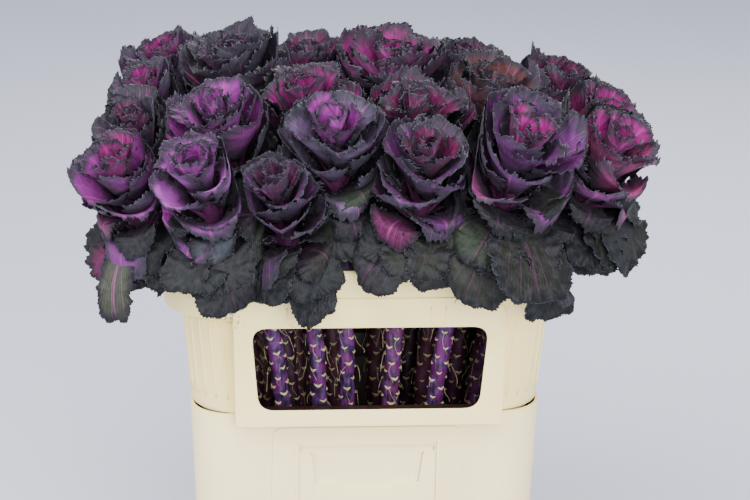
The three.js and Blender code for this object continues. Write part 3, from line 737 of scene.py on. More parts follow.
def bend(leaf, x, y, lift):
    """Points of the flat leaf, x along its rib and y across, bent to their places in the head."""
    out, up, lean = leaf["rib"]
    at = np.clip(x / leaf["length"], 0, 1) * RIB_BITS
    stations = np.arange(RIB_BITS + 1)
    out, up, lean = (np.interp(at, stations, values) for values in (out, up, lean))
    curl = leaf["cup"] / np.maximum(out, CURL_RADIUS_LEAST)
    across = np.sin(curl * y) / curl + leaf["sweep"] * x * x / leaf["length"]
    raised = lift + (1 - np.cos(curl * y)) / curl
    middle, axis, right, back = leaf["axes"]
    outward = right * math.cos(leaf["turn"]) + back * math.sin(leaf["turn"])
    sideways = np.cross(axis, outward)
    face = np.sin(lean)[:, None] * axis - np.cos(lean)[:, None] * outward
    points = middle + out[:, None] * outward + up[:, None] * axis + across[:, None] * sideways
    points = points + raised[:, None] * face
    gap = -LAP_OVER - LAP_WAVE * np.sin(points[:, 2] / LAP_WAVE_MM + 6 * leaf["draw"][7])
    if leaf["kind"] not in ("hanging", "apron"):
        return keep_in_cell(points, leaf["cell"], gap=gap if leaf["kind"] == "skirt" else CELL_GAP)
    middle_line = leaf["cell"]["site"][None, :] * cell_height(points[:, 2])[:, None]
    kept = keep_in_cell(points, leaf["cell"], middle_line, gap)
    low = (points[:, 2] < RIM_TOP + HANG_CLEAR_FROM) & (x > 0)
    if low.any():
        kept[low] = hang_clear(points[low], leaf["cell"], gap[low])
    return kept


def outline_reach(leaf, angle):
    """The blade's outline as a distance from the blade's middle, by direction: 0 is the tip."""
    ahead = np.cos(angle)
    reach = np.where(ahead > 0, BLADE_AHEAD, 1 - BLADE_AHEAD) * leaf["blade"]
    power = 2.5 + 0.8 * ahead
    total = np.abs(ahead / reach) ** power + np.abs(np.sin(angle) / leaf["half_width"]) ** power
    return total ** (-1 / power)


# Leaves
# A kale leaf is a waxy fan on a fleshy stalk, about half a millimetre thick, with veins that spread
# from its foot and a margin that grew faster than the blade, so that it ruffles and has small teeth.
LEAF_KINDS = {
    "bud": dict(count=3, root_up=(4, 2), length=(32, 40), root_lean=(2, 6), tip_lean=(-6, 4),
                half_width=(10, 13), petiole=0.15, cup=1, frill=0.5, around=80, rings=6),
    "heart": dict(count=5, root_up=(3, -8), length=(46, 60), root_lean=(8, 18), tip_lean=(10, 30),
                  half_width=(18, 27), petiole=0.18, cup=1, frill=0.85, around=128, rings=9),
    "cup": dict(count=7, root_up=(-16, -38), length=(70, 88), root_lean=(18, 30), tip_lean=(30, 60),
                half_width=(31, 40), petiole=0.2, cup=0.95, frill=0.95, around=144, rings=10),
    "outer": dict(count=6, root_up=(-40, -52), length=(84, 95), root_lean=(32, 50), tip_lean=(46, 80),
                  half_width=(37, 44), petiole=0.22, cup=0.7, frill=0.95, around=144, rings=10),
    "backing": dict(count=3, root_up=(-50, -56), length=(90, 98), root_lean=(24, 30), tip_lean=(30, 46),
                    half_width=(36, 42), petiole=0.25, cup=0.9, frill=0.8, around=96, rings=7),
    "skirt": dict(count=8, root_up=(-38, -57), length=(76, 90), root_lean=(48, 60), tip_lean=(96, 140),
                  half_width=(31, 38), petiole=0.25, cup=0.15, frill=0.8, around=112, rings=8),
    "hanging": dict(root_up=(-56, -56), length=(88, 96), root_lean=(70, 74), tip_lean=(156, 168),
                    half_width=(37, 40), petiole=0.2, cup=-0.2, frill=0.6, around=128, rings=9),
    "apron": dict(root_up=(-52, -50), length=(70, 78), root_lean=(62, 66), tip_lean=(135, 150),
                  half_width=(33, 37), petiole=0.2, cup=-0.1, frill=0.8, around=128, rings=9),
}
HANGING_DRAW_FROM = 11
OTHER_DRAW_FROM = 20
BACKING_SPREAD = math.radians(48)
OVER_RISE = 9
OVER_LEAN = 14
OPENS_OUTWARDS = {"cup": 14, "outer": 44}
ROOT_OPENS = 0.3
LEAF_THICKNESS = 0.6
STALK_RADIUS = 3.2
STALK_SIDES = 8
TOOTH = 0.02
LOBES = ((0.035, 9, 7), (0.025, 14, 8))  # how deep, how many round the blade, and from which draw
# The ruffles of the margin: how high in mm, how close they keep to the edge, how many, from which draw.
RUFFLES = ((2.4, 2, 6, 9), (1.7, 4, 17, 10), (1.2, 8, 41, 11))
FOLD = 0.14
ROLLS_FROM = 0.72
ROLLED_BACK = {"cup": 3, "outer": 5, "skirt": 3}
RIDGE = 1.3
ATLAS = 10
TIP_CROWDING = 0.35
TIP_LEAN_SPREAD = 16
TURN_SPREAD = 0.22
TWIST = 0.42
LONG_LEAF = (1, "hanging", 1)
SLIM_LEAF = 0.52
CORE_SIDES = 16
CORE_PROFILE = ((-60, 9), (-40, 9), (-10, 7), (12, 5), (16, 0.5))  # height and radius


def leaves_of(number):
    """Every leaf of a head, as the sizes and turns that its blade is bent from."""
    at, width, turn, hanging = HEADS[number][:4]
    axes, cell, scale = head_axes(at), cell_of(number), width / NOMINAL_WIDTH
    leaves = []
    for kind, sizes in LEAF_KINDS.items():
        count = sizes.get("count", hanging + 1 if kind == "apron" and hanging else hanging)
        for i in range(count):
            order = HANGING_DRAW_FROM + i if kind == "hanging" else OTHER_DRAW_FROM + len(leaves)
            share = i / (count - 1) if count > 1 else 0.5
            size = {key: value[0] + (value[1] - value[0]) * share
                    for key, value in sizes.items() if isinstance(value, tuple)}
            draw = [drawn(number + 1, order, what) for what in range(12)]
            over = i % 2 if kind == "hanging" else 0
            length = size["length"] * scale * (1 + 0.09 * draw[1])
            slim = SLIM_LEAF if (number + 1, kind, i) == LONG_LEAF else 1
            if kind == "hanging":
                length *= DROP.get(number + 1, 1) * (LONGEST.get(number + 1, 1) if i == 1 else 1)
            if kind in ("hanging", "apron"):
                direction = cell["outwards"] + HANGING_SPREAD * (2 * share - 1) + 0.12 * draw[2]
            elif kind == "backing":
                direction = math.radians(90) + BACKING_SPREAD * (2 * share - 1) + 0.2 * draw[2]
            else:
                direction = math.radians(turn) + len(leaves) * GOLDEN_ANGLE + TURN_SPREAD * draw[2]
            opened = OPENS_OUTWARDS.get(kind, 0) * max(0, math.cos(direction - cell["outwards"]))
            leaf = dict(
                axes=axes, cell=cell, kind=kind, place=i, turn=direction, length=length, draw=draw,
                root_up=size["root_up"] + over * OVER_RISE + 3 * draw[0],
                root_lean=math.radians(size["root_lean"] - over * OVER_LEAN + ROOT_OPENS * opened),
                tip_lean=math.radians(size["tip_lean"] + TIP_LEAN_SPREAD * draw[3] + opened),
                half_width=size["half_width"] * scale * slim * (1 + 0.1 * draw[4]),
                blade=length * (1 - sizes["petiole"]),
                cup=sizes["cup"], sweep=0.12 * draw[5],
                rib_bend=0.85 if kind in ("hanging", "apron") else 1.3,
                frill=sizes["frill"] * scale, around=sizes["around"], rings=sizes["rings"],
            )
            leaf["rib"] = rib_of(leaf)
            leaves.append(leaf)
    return leaves


def blade_parts(leaf):
    """A leaf's blade: points, quads and triangles of both faces, and what the finish needs to know."""
    around, rings, draw = leaf["around"], leaf["rings"], leaf["draw"]
    angle = np.arange(around) * 2 * math.pi / around
    angle = angle - TIP_CROWDING * np.sin(angle)
    tooth = np.where(np.arange(around) % 2 == 0, 1, -1) * (1 + 0.5 * np.sin(17 * angle + 9 * draw[6]))
    not_at_foot = np.clip((math.pi - np.abs(np.mod(angle + math.pi, 2 * math.pi) - math.pi)) / 0.6, 0, 1)
    lobes = sum(deep * np.sin(count * angle + 6 * draw[which]) for deep, count, which in LOBES)
    smooth_edge = outline_reach(leaf, angle)
    edge = smooth_edge * (1 + not_at_foot * (TOOTH * tooth + lobes))
    margin = (np.arange(1, rings + 1) / rings) ** 0.8
    towards_edge = margin[:, None] ** 6
    reach = margin[:, None] * (smooth_edge * (1 - towards_edge) + edge * towards_edge)
    middle_x = leaf["length"] - BLADE_AHEAD * leaf["blade"]
    x = np.concatenate([[middle_x], (middle_x + reach * np.cos(angle)).ravel()])
    y = np.concatenate([[0], (reach * np.sin(angle)).ravel()])
    m = np.concatenate([[0], np.repeat(margin, around)])
    a = np.concatenate([[0], np.tile(angle, rings)])
    calm = np.concatenate([[0], np.tile(not_at_foot, rings)])
    ruffle = sum(high * m ** close * np.sin(count * a + 6 * draw[which])
                 for high, close, count, which in RUFFLES)
    fold = FOLD * (1 + draw[6]) * np.abs(y) * (1 if leaf["kind"] in ("outer", "cup") else 0.5)
    lift = leaf["frill"] * ruffle * calm + fold + TWIST * draw[0] * y * x / leaf["length"]
    rolled = np.clip((x / leaf["length"] - ROLLS_FROM) / (1 - ROLLS_FROM), 0, 1.2)
    lift = lift - ROLLED_BACK.get(leaf["kind"], 0) * rolled ** 2
    # The midrib stands out below as a ridge, and the thickness falls away to the margin.
    thin = LEAF_THICKNESS * (1 - 0.75 * m ** 4)
    ridge = RIDGE * np.exp(-(y / RIDGE) ** 2) * (1 - m)
    top = bend(leaf, x, y, lift + thin / 2)
    low = bend(leaf, x, y, lift - thin / 2 - ridge)
    inner = 1 + (rings - 1) * around
    points = np.concatenate([top, low[:inner]])
    corner = np.arange(around)
    after = (corner + 1) % around

    def at(ring, k, below):
        index = 1 + ring * around + k
        return index + len(top) if below and ring < rings - 1 else index

    triangles, quads = [], []
    for below in (False, True):
        centre = np.full(around, len(top) if below else 0)
        fan = np.stack([centre, at(0, corner, below), at(0, after, below)], 1)
        triangles.append(fan[:, ::-1] if below else fan)
        bands = []
        for ring in range(rings - 1):
            quad = np.stack([at(ring, corner, below), at(ring + 1, corner, below),
                             at(ring + 1, after, below), at(ring, after, below)], 1)
            bands.append(quad[:, ::-1] if below else quad)
        quads.append(np.concatenate(bands))
    keep = np.concatenate([np.arange(len(top)), np.arange(inner)])
    foot = leaf["length"] - leaf["blade"]
    return {
        "points": points, "triangles": triangles, "quads": quads,
        "flat": np.stack([x - foot, y], 1)[keep], "margin": m[keep],
        "under": np.concatenate([np.zeros(len(top)), np.ones(inner)]),
        "span": (leaf["blade"] * 1.08, leaf["half_width"] * 2.2),
    }


def rod_faces(rows, around, turned=False):
    """The triangles and quads of a rod in a head, as arrays."""
    fan = np.array([[0, i + 1, i] for i in range(1, around - 1)])
    triangles = np.concatenate([fan, fan[:, [0, 2, 1]] + (rows - 1) * around])
    quads = np.array(skin(rows, around, turned)[2:])
    return {"triangles": [triangles[:, ::-1] if turned else triangles], "quads": [quads]}


def stalk_parts(leaf):
    """The leaf's stalk: a tapered rod from the head's core that runs out along the blade's midrib."""
    foot = leaf["length"] - leaf["blade"]
    x = np.linspace(-2, foot + 0.3 * leaf["blade"], 9)
    radius = np.interp(x, [0, foot, x[-1]], [STALK_RADIUS, 2.0, 0.5])
    turn = np.arange(STALK_SIDES) * 2 * math.pi / STALK_SIDES
    rows, count = [], STALK_SIDES
    for place, r in zip(x, radius):
        y = r * np.cos(turn)
        lift = 0.8 * r * np.sin(turn) - 0.75 * r
        rows.append(bend(leaf, np.full(count, place), y, lift))
    flat = np.stack([np.repeat(x - foot, count), np.tile(0.4 * np.cos(turn), len(x))], 1)
    return {
        "points": np.concatenate(rows), "flat": flat, "margin": np.zeros(len(flat)),
        "under": np.zeros(len(flat)), "stalk": True, "span": (leaf["length"] * 1.1, 2 * STALK_RADIUS),
        **rod_faces(len(x), count, turned=True),
    }


def core_parts(axes):
    """The stalk at the middle of a head, which all the leaves grow from."""
    middle, up, right, back = axes
    turn = np.arange(CORE_SIDES) * 2 * math.pi / CORE_SIDES
    rows = [middle + up * z + r * (np.cos(turn)[:, None] * right + np.sin(turn)[:, None] * back)
            for z, r in CORE_PROFILE]
    count = CORE_SIDES * len(rows)
    return {
        "points": np.concatenate(rows), "flat": np.zeros((count, 2)), "margin": np.zeros(count),
        "under": np.zeros(count), "stalk": True, "span": (100, 20), **rod_faces(len(rows), CORE_SIDES),
    }


# Stalks and the core are painted mostly near black over a fifth of their leaf's colour: painted shade deep in
# the head.
SHADED_STALK_COLOUR = "#1e0a20"
STALK_TINT = 0.2
STALK_BLUSH = 0.3
DARK_ZONE = {"cup": 0.08, "outer": 0.2}
CELL_MARGIN = 0.03


def leaf_colours(number, leaf):
    """A leaf's main and margin colours, how pink its veins are, and how wide its dark margin is."""
    heart, cup, outer = HEADS[number][4:]
    kind, draw = leaf["kind"], leaf["draw"]
    main = {"bud": heart, "heart": heart, "cup": cup, "outer": outer}.get(kind)
    edge, blush = "#24242b", 0.4
    if main is None:
        main = "slate" if draw[7] > -0.3 else "moss"
        edge, blush = "#0e1112", 0.12 * max(0, draw[8])
    main, blush = SINGLE_LEAVES.get((number + 1, kind, leaf["place"]), (main, blush))
    colour = np.array(linear(LEAF_COLOURS[main])[:3])
    if kind == "outer":
        colour = 0.8 * colour + 0.2 * np.array(linear(LEAF_COLOURS[cup])[:3])
    colour = colour * (0.92 + 0.22 * draw[9])
    margin_colour = np.array(linear(edge)[:3]) * (1 + 0.15 * draw[10])
    return colour, margin_colour, blush, DARK_ZONE.get(kind, 0)


def make_head(number):
    """One head as a single mesh, with a cell of the texture atlas for each face of each blade."""
    leaves = leaves_of(number)
    parts = [(core_parts(leaves[0]["axes"]), leaves[0])]
    for leaf in leaves:
        parts.append((blade_parts(leaf), leaf))
        parts.append((stalk_parts(leaf), leaf))
    points, corners, starts, atlas_uv, flat_uv = [], [], [], [], []
    values = {"margin": [], "under": [], "blush": [], "dark": [], "main": [], "rim_colour": []}
    offset, loops, cell_number = 0, 0, 0
    for part, leaf in parts:
        colour, margin_colour, blush, dark = leaf_colours(number, leaf)
        if "stalk" in part:
            # Painted shade: the stalk's colour is mostly the dark shaded stalk colour.
            colour = STALK_TINT * colour + (1 - STALK_TINT) * np.array(linear(SHADED_STALK_COLOUR)[:3])
            blush *= STALK_BLUSH
        count = len(part["points"])
        points.append(part["points"])
        values["margin"].append(part["margin"])
        values["under"].append(part["under"])
        values["blush"].append(np.full(count, blush))
        values["dark"].append(np.full(count, dark))
        values["main"].append(np.tile(np.append(colour, 1), (count, 1)))
        values["rim_colour"].append(np.tile(np.append(margin_colour, 1), (count, 1)))
        length, breadth = part["span"]
        unit = np.stack([part["flat"][:, 0] / length, part["flat"][:, 1] / breadth + 0.5], 1)
        for both in zip(part["triangles"], part["quads"]):
            cell_xy = np.array([cell_number % ATLAS, cell_number // ATLAS % ATLAS])
            cell_number += 0 if "stalk" in part else 1
            for faces in both:
                used = faces.ravel()
                corners.append(used + offset)
                starts.append(loops + np.arange(len(faces)) * faces.shape[1])
                loops += len(used)
                in_cell = CELL_MARGIN + (1 - 2 * CELL_MARGIN) * np.clip(unit[used], 0, 1)
                atlas_uv.append((cell_xy + in_cell) / ATLAS)
                flat_uv.append(part["flat"][used] * MM)
        offset += count
    name = f"kale_head_{number + 1:02d}"
    mesh = bpy.data.meshes.new(name)
    points, corners, starts = np.concatenate(points), np.concatenate(corners), np.concatenate(starts)
    mesh.vertices.add(len(points))
    mesh.vertices.foreach_set("co", (points * MM).astype(np.float32).ravel())
    mesh.loops.add(len(corners))
    mesh.loops.foreach_set("vertex_index", corners.astype(np.int32))
    mesh.polygons.add(len(starts))
    mesh.polygons.foreach_set("loop_start", starts.astype(np.int32))
    mesh.update(calc_edges=True)
    mesh.shade_smooth()
    for layer, coordinates in (("OFBake", atlas_uv), ("flat", flat_uv)):
        uv = mesh.uv_layers.new(name=layer)
        uv.uv.foreach_set("vector", np.concatenate(coordinates).astype(np.float32).ravel())
    for attribute, value in values.items():
        mark(mesh, attribute, np.concatenate(value))
    head = bpy.data.objects.new(name, mesh)
    bpy.context.scene.collection.objects.link(head)
    return head


# Kale leaf with its wax: matt, with a thin pale bloom that rubs off in patches. The veins carry the
# magenta out from the foot of the blade, and the ruffled margin stays dark grey-green.
VEINS_PER_RADIAN = 5.5
BLISTER_MM = 3.2
WOBBLE_MM = 14
BLOOM_MM = 9
VEINS_MEET = 6
MIDRIB_HALF = 1.7
MIDRIB_CORE = 0.4
SHADE_LOW = -4
SHADE_HIGH = 36
kale, tree, shader = new_material("waxy_kale_leaf")
margin, under, blush, dark_zone = [
    add(tree, "Attribute", output="Fac", attribute_name=name)
    for name in ("margin", "under", "blush", "dark")
]
main, rim_colour = [
    add(tree, "Attribute", output="Color", attribute_name=name) for name in ("main", "rim_colour")
]
flat = add(tree, "UVMap", uv_map="flat")
wobble = add(tree, "TexNoise", {"Vector": flat, "Scale": 1 / (WOBBLE_MM * MM), "Detail": 3})
bloom = add(tree, "TexNoise", {"Vector": flat, "Scale": 1 / (BLOOM_MM * MM), "Detail": 5, "Roughness": 0.65})
along = add(tree, "SeparateXYZ", {0: flat}, 0)
across = add(tree, "SeparateXYZ", {0: flat}, 1)
from_foot = add(tree, "Math", {0: along, 1: VEINS_MEET * MM}, operation="ADD")
angle = add(tree, "Math", {0: across, 1: from_foot}, operation="ARCTAN2")
swayed = add(tree, "Math", {0: wobble, 1: 0.07, 2: angle}, operation="MULTIPLY_ADD")
off_rib = add(tree, "Math", {0: across}, operation="ABSOLUTE")
veins = add(tree, "MapRange", {0: off_rib, 1: MIDRIB_HALF * MM, 2: MIDRIB_CORE * MM, 3: 0, 4: 1},
            interpolation_type="SMOOTHSTEP")
# The main side veins, then four times as many fine ones.
for times, narrow, strong in ((1, 0.92, 0.9), (4, 0.7, 0.45)):
    wave = add(tree, "Math", {0: swayed, 1: 2 * math.pi * VEINS_PER_RADIAN * times}, operation="MULTIPLY")
    wave = add(tree, "Math", {0: wave}, operation="COSINE")
    vein = add(tree, "MapRange", {0: wave, 1: narrow, 2: 1, 3: 0, 4: strong},
               interpolation_type="SMOOTHSTEP")
    veins = add(tree, "Math", {0: veins, 1: vein}, operation="MAXIMUM")
patchy = add(tree, "Math", {0: bloom, 1: 0.5, 2: margin}, operation="MULTIPLY_ADD")
uneven = add(tree, "Math", {0: wobble, 1: 0.6, 2: patchy}, operation="MULTIPLY_ADD")
uneven = add(tree, "Math", {0: uneven, 1: dark_zone}, operation="ADD")
dark_margin = add(tree, "MapRange", {0: uneven, 1: 1.1, 2: 1.5, 3: 0, 4: 0.95},
                  interpolation_type="SMOOTHSTEP")
# Darker towards the foot of each blade: painted shade deep in the head, where the leaves crowd round the
# heart.
painted_foot_shade = add(tree, "MapRange", {0: along, 1: SHADE_HIGH * MM, 2: SHADE_LOW * MM, 3: 0, 4: 0.85},
                interpolation_type="SMOOTHSTEP")
near_foot = add(tree, "MapRange", {0: margin, 1: 1, 2: 0.25, 3: 0, 4: 1})
vein_tint = add(tree, "Math", {0: veins, 1: near_foot}, operation="MULTIPLY")
vein_tint = add(tree, "Math", {0: vein_tint, 1: blush}, operation="MULTIPLY")
vein_tint = add(tree, "Math", {0: vein_tint, 1: 0.8}, operation="MULTIPLY")
wax = add(tree, "MapRange", {0: bloom, 1: 0.45, 2: 0.75, 3: 0, 4: 0.07})
# A pale rim along the very edge of the margin: partly the wax bloom, partly a painted highlight where the
# edges catch the light.
bloom_and_edge_highlight = add(tree, "MapRange", {0: margin, 1: 0.965, 2: 1, 3: 0, 4: 0.22})
paler_below = add(tree, "Math", {0: under, 1: 0.1}, operation="MULTIPLY")
layers = [
    (dark_margin, rim_colour), (painted_foot_shade, linear("#180a1a")), (vein_tint, linear("#b8489c")),
    (wax, linear("#8b8796")), (bloom_and_edge_highlight, linear("#8f8b9a")), (paler_below, linear("#80748c")),
]
colour = main
for share, over in layers:
    colour = add(tree, "Mix", {0: share, 6: colour, 7: over}, 2, data_type="RGBA")
blisters = add(tree, "TexVoronoi", {"Vector": flat, "Scale": 1 / (BLISTER_MM * MM)}, feature="SMOOTH_F1")
relief_height = add(tree, "Math", {0: veins, 1: -0.9, 2: blisters}, operation="MULTIPLY_ADD")
bumps = add(tree, "Bump", {"Height": relief_height, "Strength": 0.45, "Distance": 0.8 * MM})
dullness = add(tree, "MapRange", {0: bloom, 1: 0.35, 2: 0.7, 3: 0.44, 4: 0.62})
feed(shader, {
    "Base Color": colour, "Roughness": dullness, "Normal": bumps, "IOR": 1.45, "Specular IOR Level": 0.17,
    "Sheen Weight": 0.02, "Sheen Roughness": 0.45,
})

for number in range(len(HEADS)):
    head = make_head(number)
    head.data.materials.append(kale)
    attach(head, "root")
    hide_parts(f"head_{number + 1:02d}")


# Stems
# Each head stands on a woody stem of about 17 mm, purple under a waxy bloom. Where the lower leaves
# were stripped it carries pale crescent scars in a spiral, and fine curled fibres hang from them.
STEM_RADIUS = 8.5
STEM_SIDES = 24
STEM_RING_MM = 3
STEM_FAN = [(3.4, 0.46), (120, 0.48), (250, 0.52), (352, 0.62), (400, 0.72)]
STEM_STRAIGHT = 28
STEM_GAP = 0.7
CROWN_DROP = 60
SPLINE_STEPS = 24
SCAR_STEP = 3.4
SCAR_HALF = 3.7
SCAR_PROUD = 1.3
SCAR_ROWS = 9
FIBRE_LOW = 240
FIBRE_HIGH = 372
FIBRE_RADIUS = 0.17
FIBRE_STEPS = 12
FIBRE_SIDES = 4
STEMS_IN_FRONT = 7


def stem_points(at):
    """The points that a stem passes through, from the bucket's floor to its head."""
    middle, up, _, _ = head_axes(at)
    points = [np.array([at[0] * fan, at[1] * fan, z]) for z, fan in STEM_FAN]
    top = CROWN_DROP + STEM_GAP
    return points + [middle - up * (top + STEM_STRAIGHT), middle - up * top]


def through(points, spacing):
    """An even run of points on a centripetal spline through the given ones."""
    points = [2 * points[0] - points[1], *points, 2 * points[-1] - points[-2]]
    samples = []
    for p0, p1, p2, p3 in zip(points, points[1:], points[2:], points[3:]):
        t1 = np.linalg.norm(p1 - p0) ** 0.5
        t2 = t1 + np.linalg.norm(p2 - p1) ** 0.5
        t3 = t2 + np.linalg.norm(p3 - p2) ** 0.5
        for t in np.linspace(t1, t2, SPLINE_STEPS, endpoint=False):
            a1 = (t1 - t) / t1 * p0 + t / t1 * p1
            a2 = (t2 - t) / (t2 - t1) * p1 + (t - t1) / (t2 - t1) * p2
            a3 = (t3 - t) / (t3 - t2) * p2 + (t - t2) / (t3 - t2) * p3
            b1 = (t2 - t) / t2 * a1 + t / t2 * a2
            b2 = (t3 - t) / (t3 - t1) * a2 + (t - t1) / (t3 - t1) * a3
            samples.append((t2 - t) / (t2 - t1) * b1 + (t - t1) / (t2 - t1) * b2)
    samples.append(points[-2])
    samples = np.array(samples)
    travelled = np.concatenate([[0], np.cumsum(np.linalg.norm(np.diff(samples, axis=0), axis=1))])
    stations = np.linspace(0, travelled[-1], int(travelled[-1] / spacing) + 1)
    return np.stack([np.interp(stations, travelled, samples[:, k]) for k in range(3)], 1), stations


def frame_along(path):
    """Two directions square to a path at each of its points."""
    along = np.gradient(path, axis=0)
    along /= np.linalg.norm(along, axis=1)[:, None]
    first = np.array([1.0, 0, 0]) - along * along[:, :1]
    first /= np.linalg.norm(first, axis=1)[:, None]
    return along, first, np.cross(along, first)


def rod(path, radii, sides):
    """A closed rod along a path."""
    _, first, second = frame_along(path)
    turn = np.arange(sides) * 2 * math.pi / sides
    around = np.cos(turn)[None, :, None] * first[:, None] + np.sin(turn)[None, :, None] * second[:, None]
    out = np.broadcast_to(radii, (len(path), sides))[:, :, None]
    points = (path[:, None] + around * out).reshape(-1, 3)
    return points, skin(len(path), sides)


def bark_radius(turn, station):
    """How thick the knobbly stem is, by direction and by how far along it."""
    return STEM_RADIUS - 0.6 + 0.45 * np.sin(3 * turn + station / 11) + 0.3 * np.sin(station / 4.3 + turn)


def scar_parts(centre_at, along, first, second, spin, size, height):
    """A crescent scar on the stem: its points and faces, its middle and the way out from there."""
    points, spine = [], []
    for s in np.linspace(-1, 1, SCAR_ROWS):
        a = spin + s * SCAR_HALF * size / STEM_RADIUS
        wing = size * (1.7 * s ** 2 - 0.5 * math.exp(-(s / 0.25) ** 2))
        normal = math.cos(a) * first + math.sin(a) * second
        centre = centre_at + along * wing + normal * bark_radius(a, height)
        fullness = 1 - abs(s) ** 2.2
        thick = size * (0.15 + 1.35 * fullness)
        for lift, rise in ((-0.9, 0), (0.25, -thick), (SCAR_PROUD * fullness, 0.2), (0.25, thick)):
            points.append(centre + normal * lift + along * rise)
        spine.append((centre, normal))
    return np.array(points), skin(SCAR_ROWS, 4), *spine[SCAR_ROWS // 2]


def fibre_parts(start, along, normal, reach, curl):
    """A fine dry fibre that curls down from a scar."""
    t = np.linspace(0, 1, FIBRE_STEPS)[:, None]
    strand = start + normal * reach * 0.5 * t * (1 - 0.5 * t)
    strand = strand + np.cross(along, normal) * reach * (curl * t + 0.2 * np.sin(8 * t + 2 * curl) * t)
    strand = strand - along * reach * (0.9 * t ** 2 - 0.25 * np.sin(5 * t + curl))
    return rod(strand, np.full((FIBRE_STEPS, FIBRE_SIDES), FIBRE_RADIUS), FIBRE_SIDES)


def make_stem(number):
    """One stem as a single mesh: the bark, its scars in a spiral, and the fibres behind the window."""
    path, stations = through(stem_points(HEADS[number][0]), STEM_RING_MM)
    along, first, second = frame_along(path)
    turn = np.arange(STEM_SIDES) * 2 * math.pi / STEM_SIDES
    parts = [rod(path, bark_radius(turn[None, :], stations[:, None]), STEM_SIDES)]
    for k in range(int(stations[-1] / SCAR_STEP) - 2):
        height = (k + 1) * SCAR_STEP
        at = min(int(height / STEM_RING_MM), len(path) - 2)
        centre_at = path[at] + along[at] * (height - stations[at])
        spin, size = k * GOLDEN_ANGLE + number, 1 + 0.3 * drawn(number, k, 1)
        points, faces, middle, normal = scar_parts(
            centre_at, along[at], first[at], second[at], spin, size, height)
        parts.append((points, faces))
        if FIBRE_LOW < path[at][2] < FIBRE_HIGH and k % 2 == 0:
            reach = 11 + 7 * drawn(number, k, 2)
            parts.append(fibre_parts(middle, along[at], normal, reach, drawn(number, k, 3)))
    stem = new_mesh_object(f"kale_stem_{number + 1:02d}", *gather(parts))
    pale = np.ones(len(stem.data.vertices))
    pale[:len(parts[0][0])] = 0
    # The stems behind the front row are painted much darker than those in front: painted shade deep inside
    # the collar.
    old = 0.2 + 0.2 * drawn(number, 0, 5) if number < STEMS_IN_FRONT else 0.7 + 0.15 * drawn(number, 0, 5)
    mark(stem.data, "scar", pale)
    mark(stem.data, "old", np.full(len(pale), old))
    mark(stem.data, "brown", np.full(len(pale), 0.5 + 0.5 * drawn(number, 0, 6)))
    stem.data.shade_smooth()
    return stem


# Kale stem: smooth woody bark with a wax bloom, violet with patches of magenta and near-black purple.
# The scars are dry cork, cream and dull.
BARK_MM = 10
STREAK_MM = 2.5
bark, tree, shader = new_material("purple_kale_stem")
place = add(tree, "TexCoord", output="Object")
stretched = add(tree, "VectorMath", {0: place, 1: (1, 1, 0.2)}, operation="MULTIPLY")
patches = add(tree, "TexNoise", {"Vector": place, "Scale": 1 / (BARK_MM * MM), "Detail": 4})
streaks = add(tree, "TexNoise", {"Vector": stretched, "Scale": 1 / (STREAK_MM * MM), "Detail": 4})
old, brown, scar = [
    add(tree, "Attribute", output="Fac", attribute_name=name) for name in ("old", "brown", "scar")
]
violet = add(tree, "MapRange", {0: streaks, 1: 0.4, 2: 0.62, 3: 0, 4: 1})
dark_patches = add(tree, "MapRange", {0: patches, 1: 0.5, 2: 0.36, 3: 0, 4: 0.75})
magenta_patches = add(tree, "MapRange", {0: patches, 1: 0.47, 2: 0.6, 3: 0, 4: 0.85})
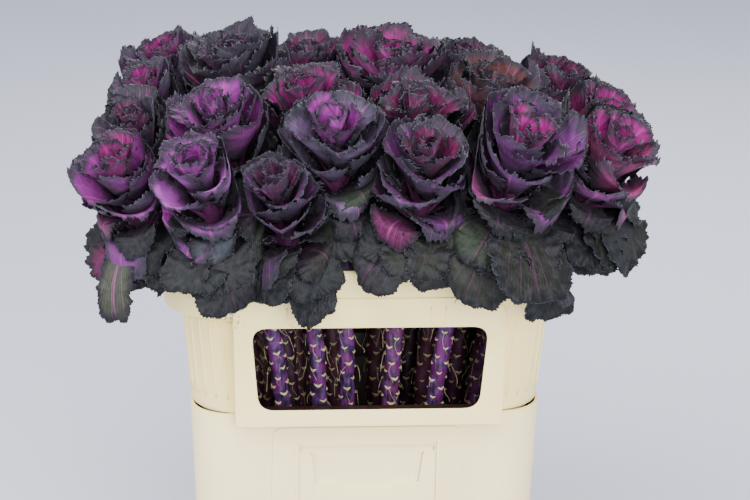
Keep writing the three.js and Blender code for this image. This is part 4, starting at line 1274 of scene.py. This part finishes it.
# The old mark mixes a stem towards dark purple-black and red-brown: painted shade, strongest on the rear
# stems; how brown varies by stem.
rear_stem_shade = add(tree, "Mix", {0: brown, 6: linear("#22121c"), 7: linear("#4a2018")}, 2, data_type="RGBA")
cork = add(tree, "Mix", {0: streaks, 6: linear("#7a6a44"), 7: linear("#d8cc9c")}, 2, data_type="RGBA")
layers = [
    (violet, linear("#5c3a74")), (dark_patches, linear("#160a1c")), (magenta_patches, linear("#620f5a")),
    (old, rear_stem_shade), (scar, cork),
]
colour = linear("#1a0822")
for share, over in layers:
    colour = add(tree, "Mix", {0: share, 6: colour, 7: over}, 2, data_type="RGBA")
bumps = add(tree, "Bump", {"Height": streaks, "Strength": 0.4, "Distance": 0.5 * MM})
feed(shader, {"Base Color": colour, "Roughness": 0.5, "Normal": bumps, "IOR": 1.45})

for number in range(len(HEADS)):
    stem = make_stem(number)
    stem.data.materials.append(bark)
    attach(stem, "root")
    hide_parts(f"stem_{number + 1:02d}")


# Floor
# A wide pale grey studio floor, which fills the picture behind the bucket too.
FLOOR_HALF = 30000
floor_corners = [(-FLOOR_HALF, -FLOOR_HALF, 0), (FLOOR_HALF, -FLOOR_HALF, 0),
                 (FLOOR_HALF, FLOOR_HALF, 0), (-FLOOR_HALF, FLOOR_HALF, 0)]
floor = new_mesh_object("studio_floor", floor_corners, [(0, 1, 2, 3)])
paper, tree, shader = new_material("studio_paper")
feed(shader, {"Base Color": linear("#b2b5c2"), "Roughness": 0.85, "Specular IOR Level": 0.1})
floor.data.materials.append(paper)

# Lights
# Soft studio light: broad boxes above and in front, weaker ones at the left and behind, in a pale room.
LIT_POINT = Vector((0, 0, 0.45))
LIGHTS = [
    ("overhead_box", (-0.5, -1.5, 2.7), 1.8, 106),
    ("front_box", (0.7, -2.9, 1.1), 1.8, 130),
    ("left_box", (-2.4, -0.9, 1.4), 1.4, 56),
    ("back_box", (0.6, 1.6, 2.2), 1.4, 70),
]
for name, place, size, power in LIGHTS:
    light = bpy.data.lights.new(name, "AREA")
    light.energy = power
    light.size = size
    lamp = bpy.data.objects.new(name, light)
    aim = LIT_POINT - Vector(place)
    lamp.matrix_world = Matrix.Translation(place) @ aim.to_track_quat("-Z", "Y").to_matrix().to_4x4()
    bpy.context.scene.collection.objects.link(lamp)
world = bpy.data.worlds.new("pale_room")
world.use_nodes = True
feed(world.node_tree.nodes["Background"], {"Color": linear("#e3e5f0"), "Strength": 1.45})
bpy.context.scene.world = world
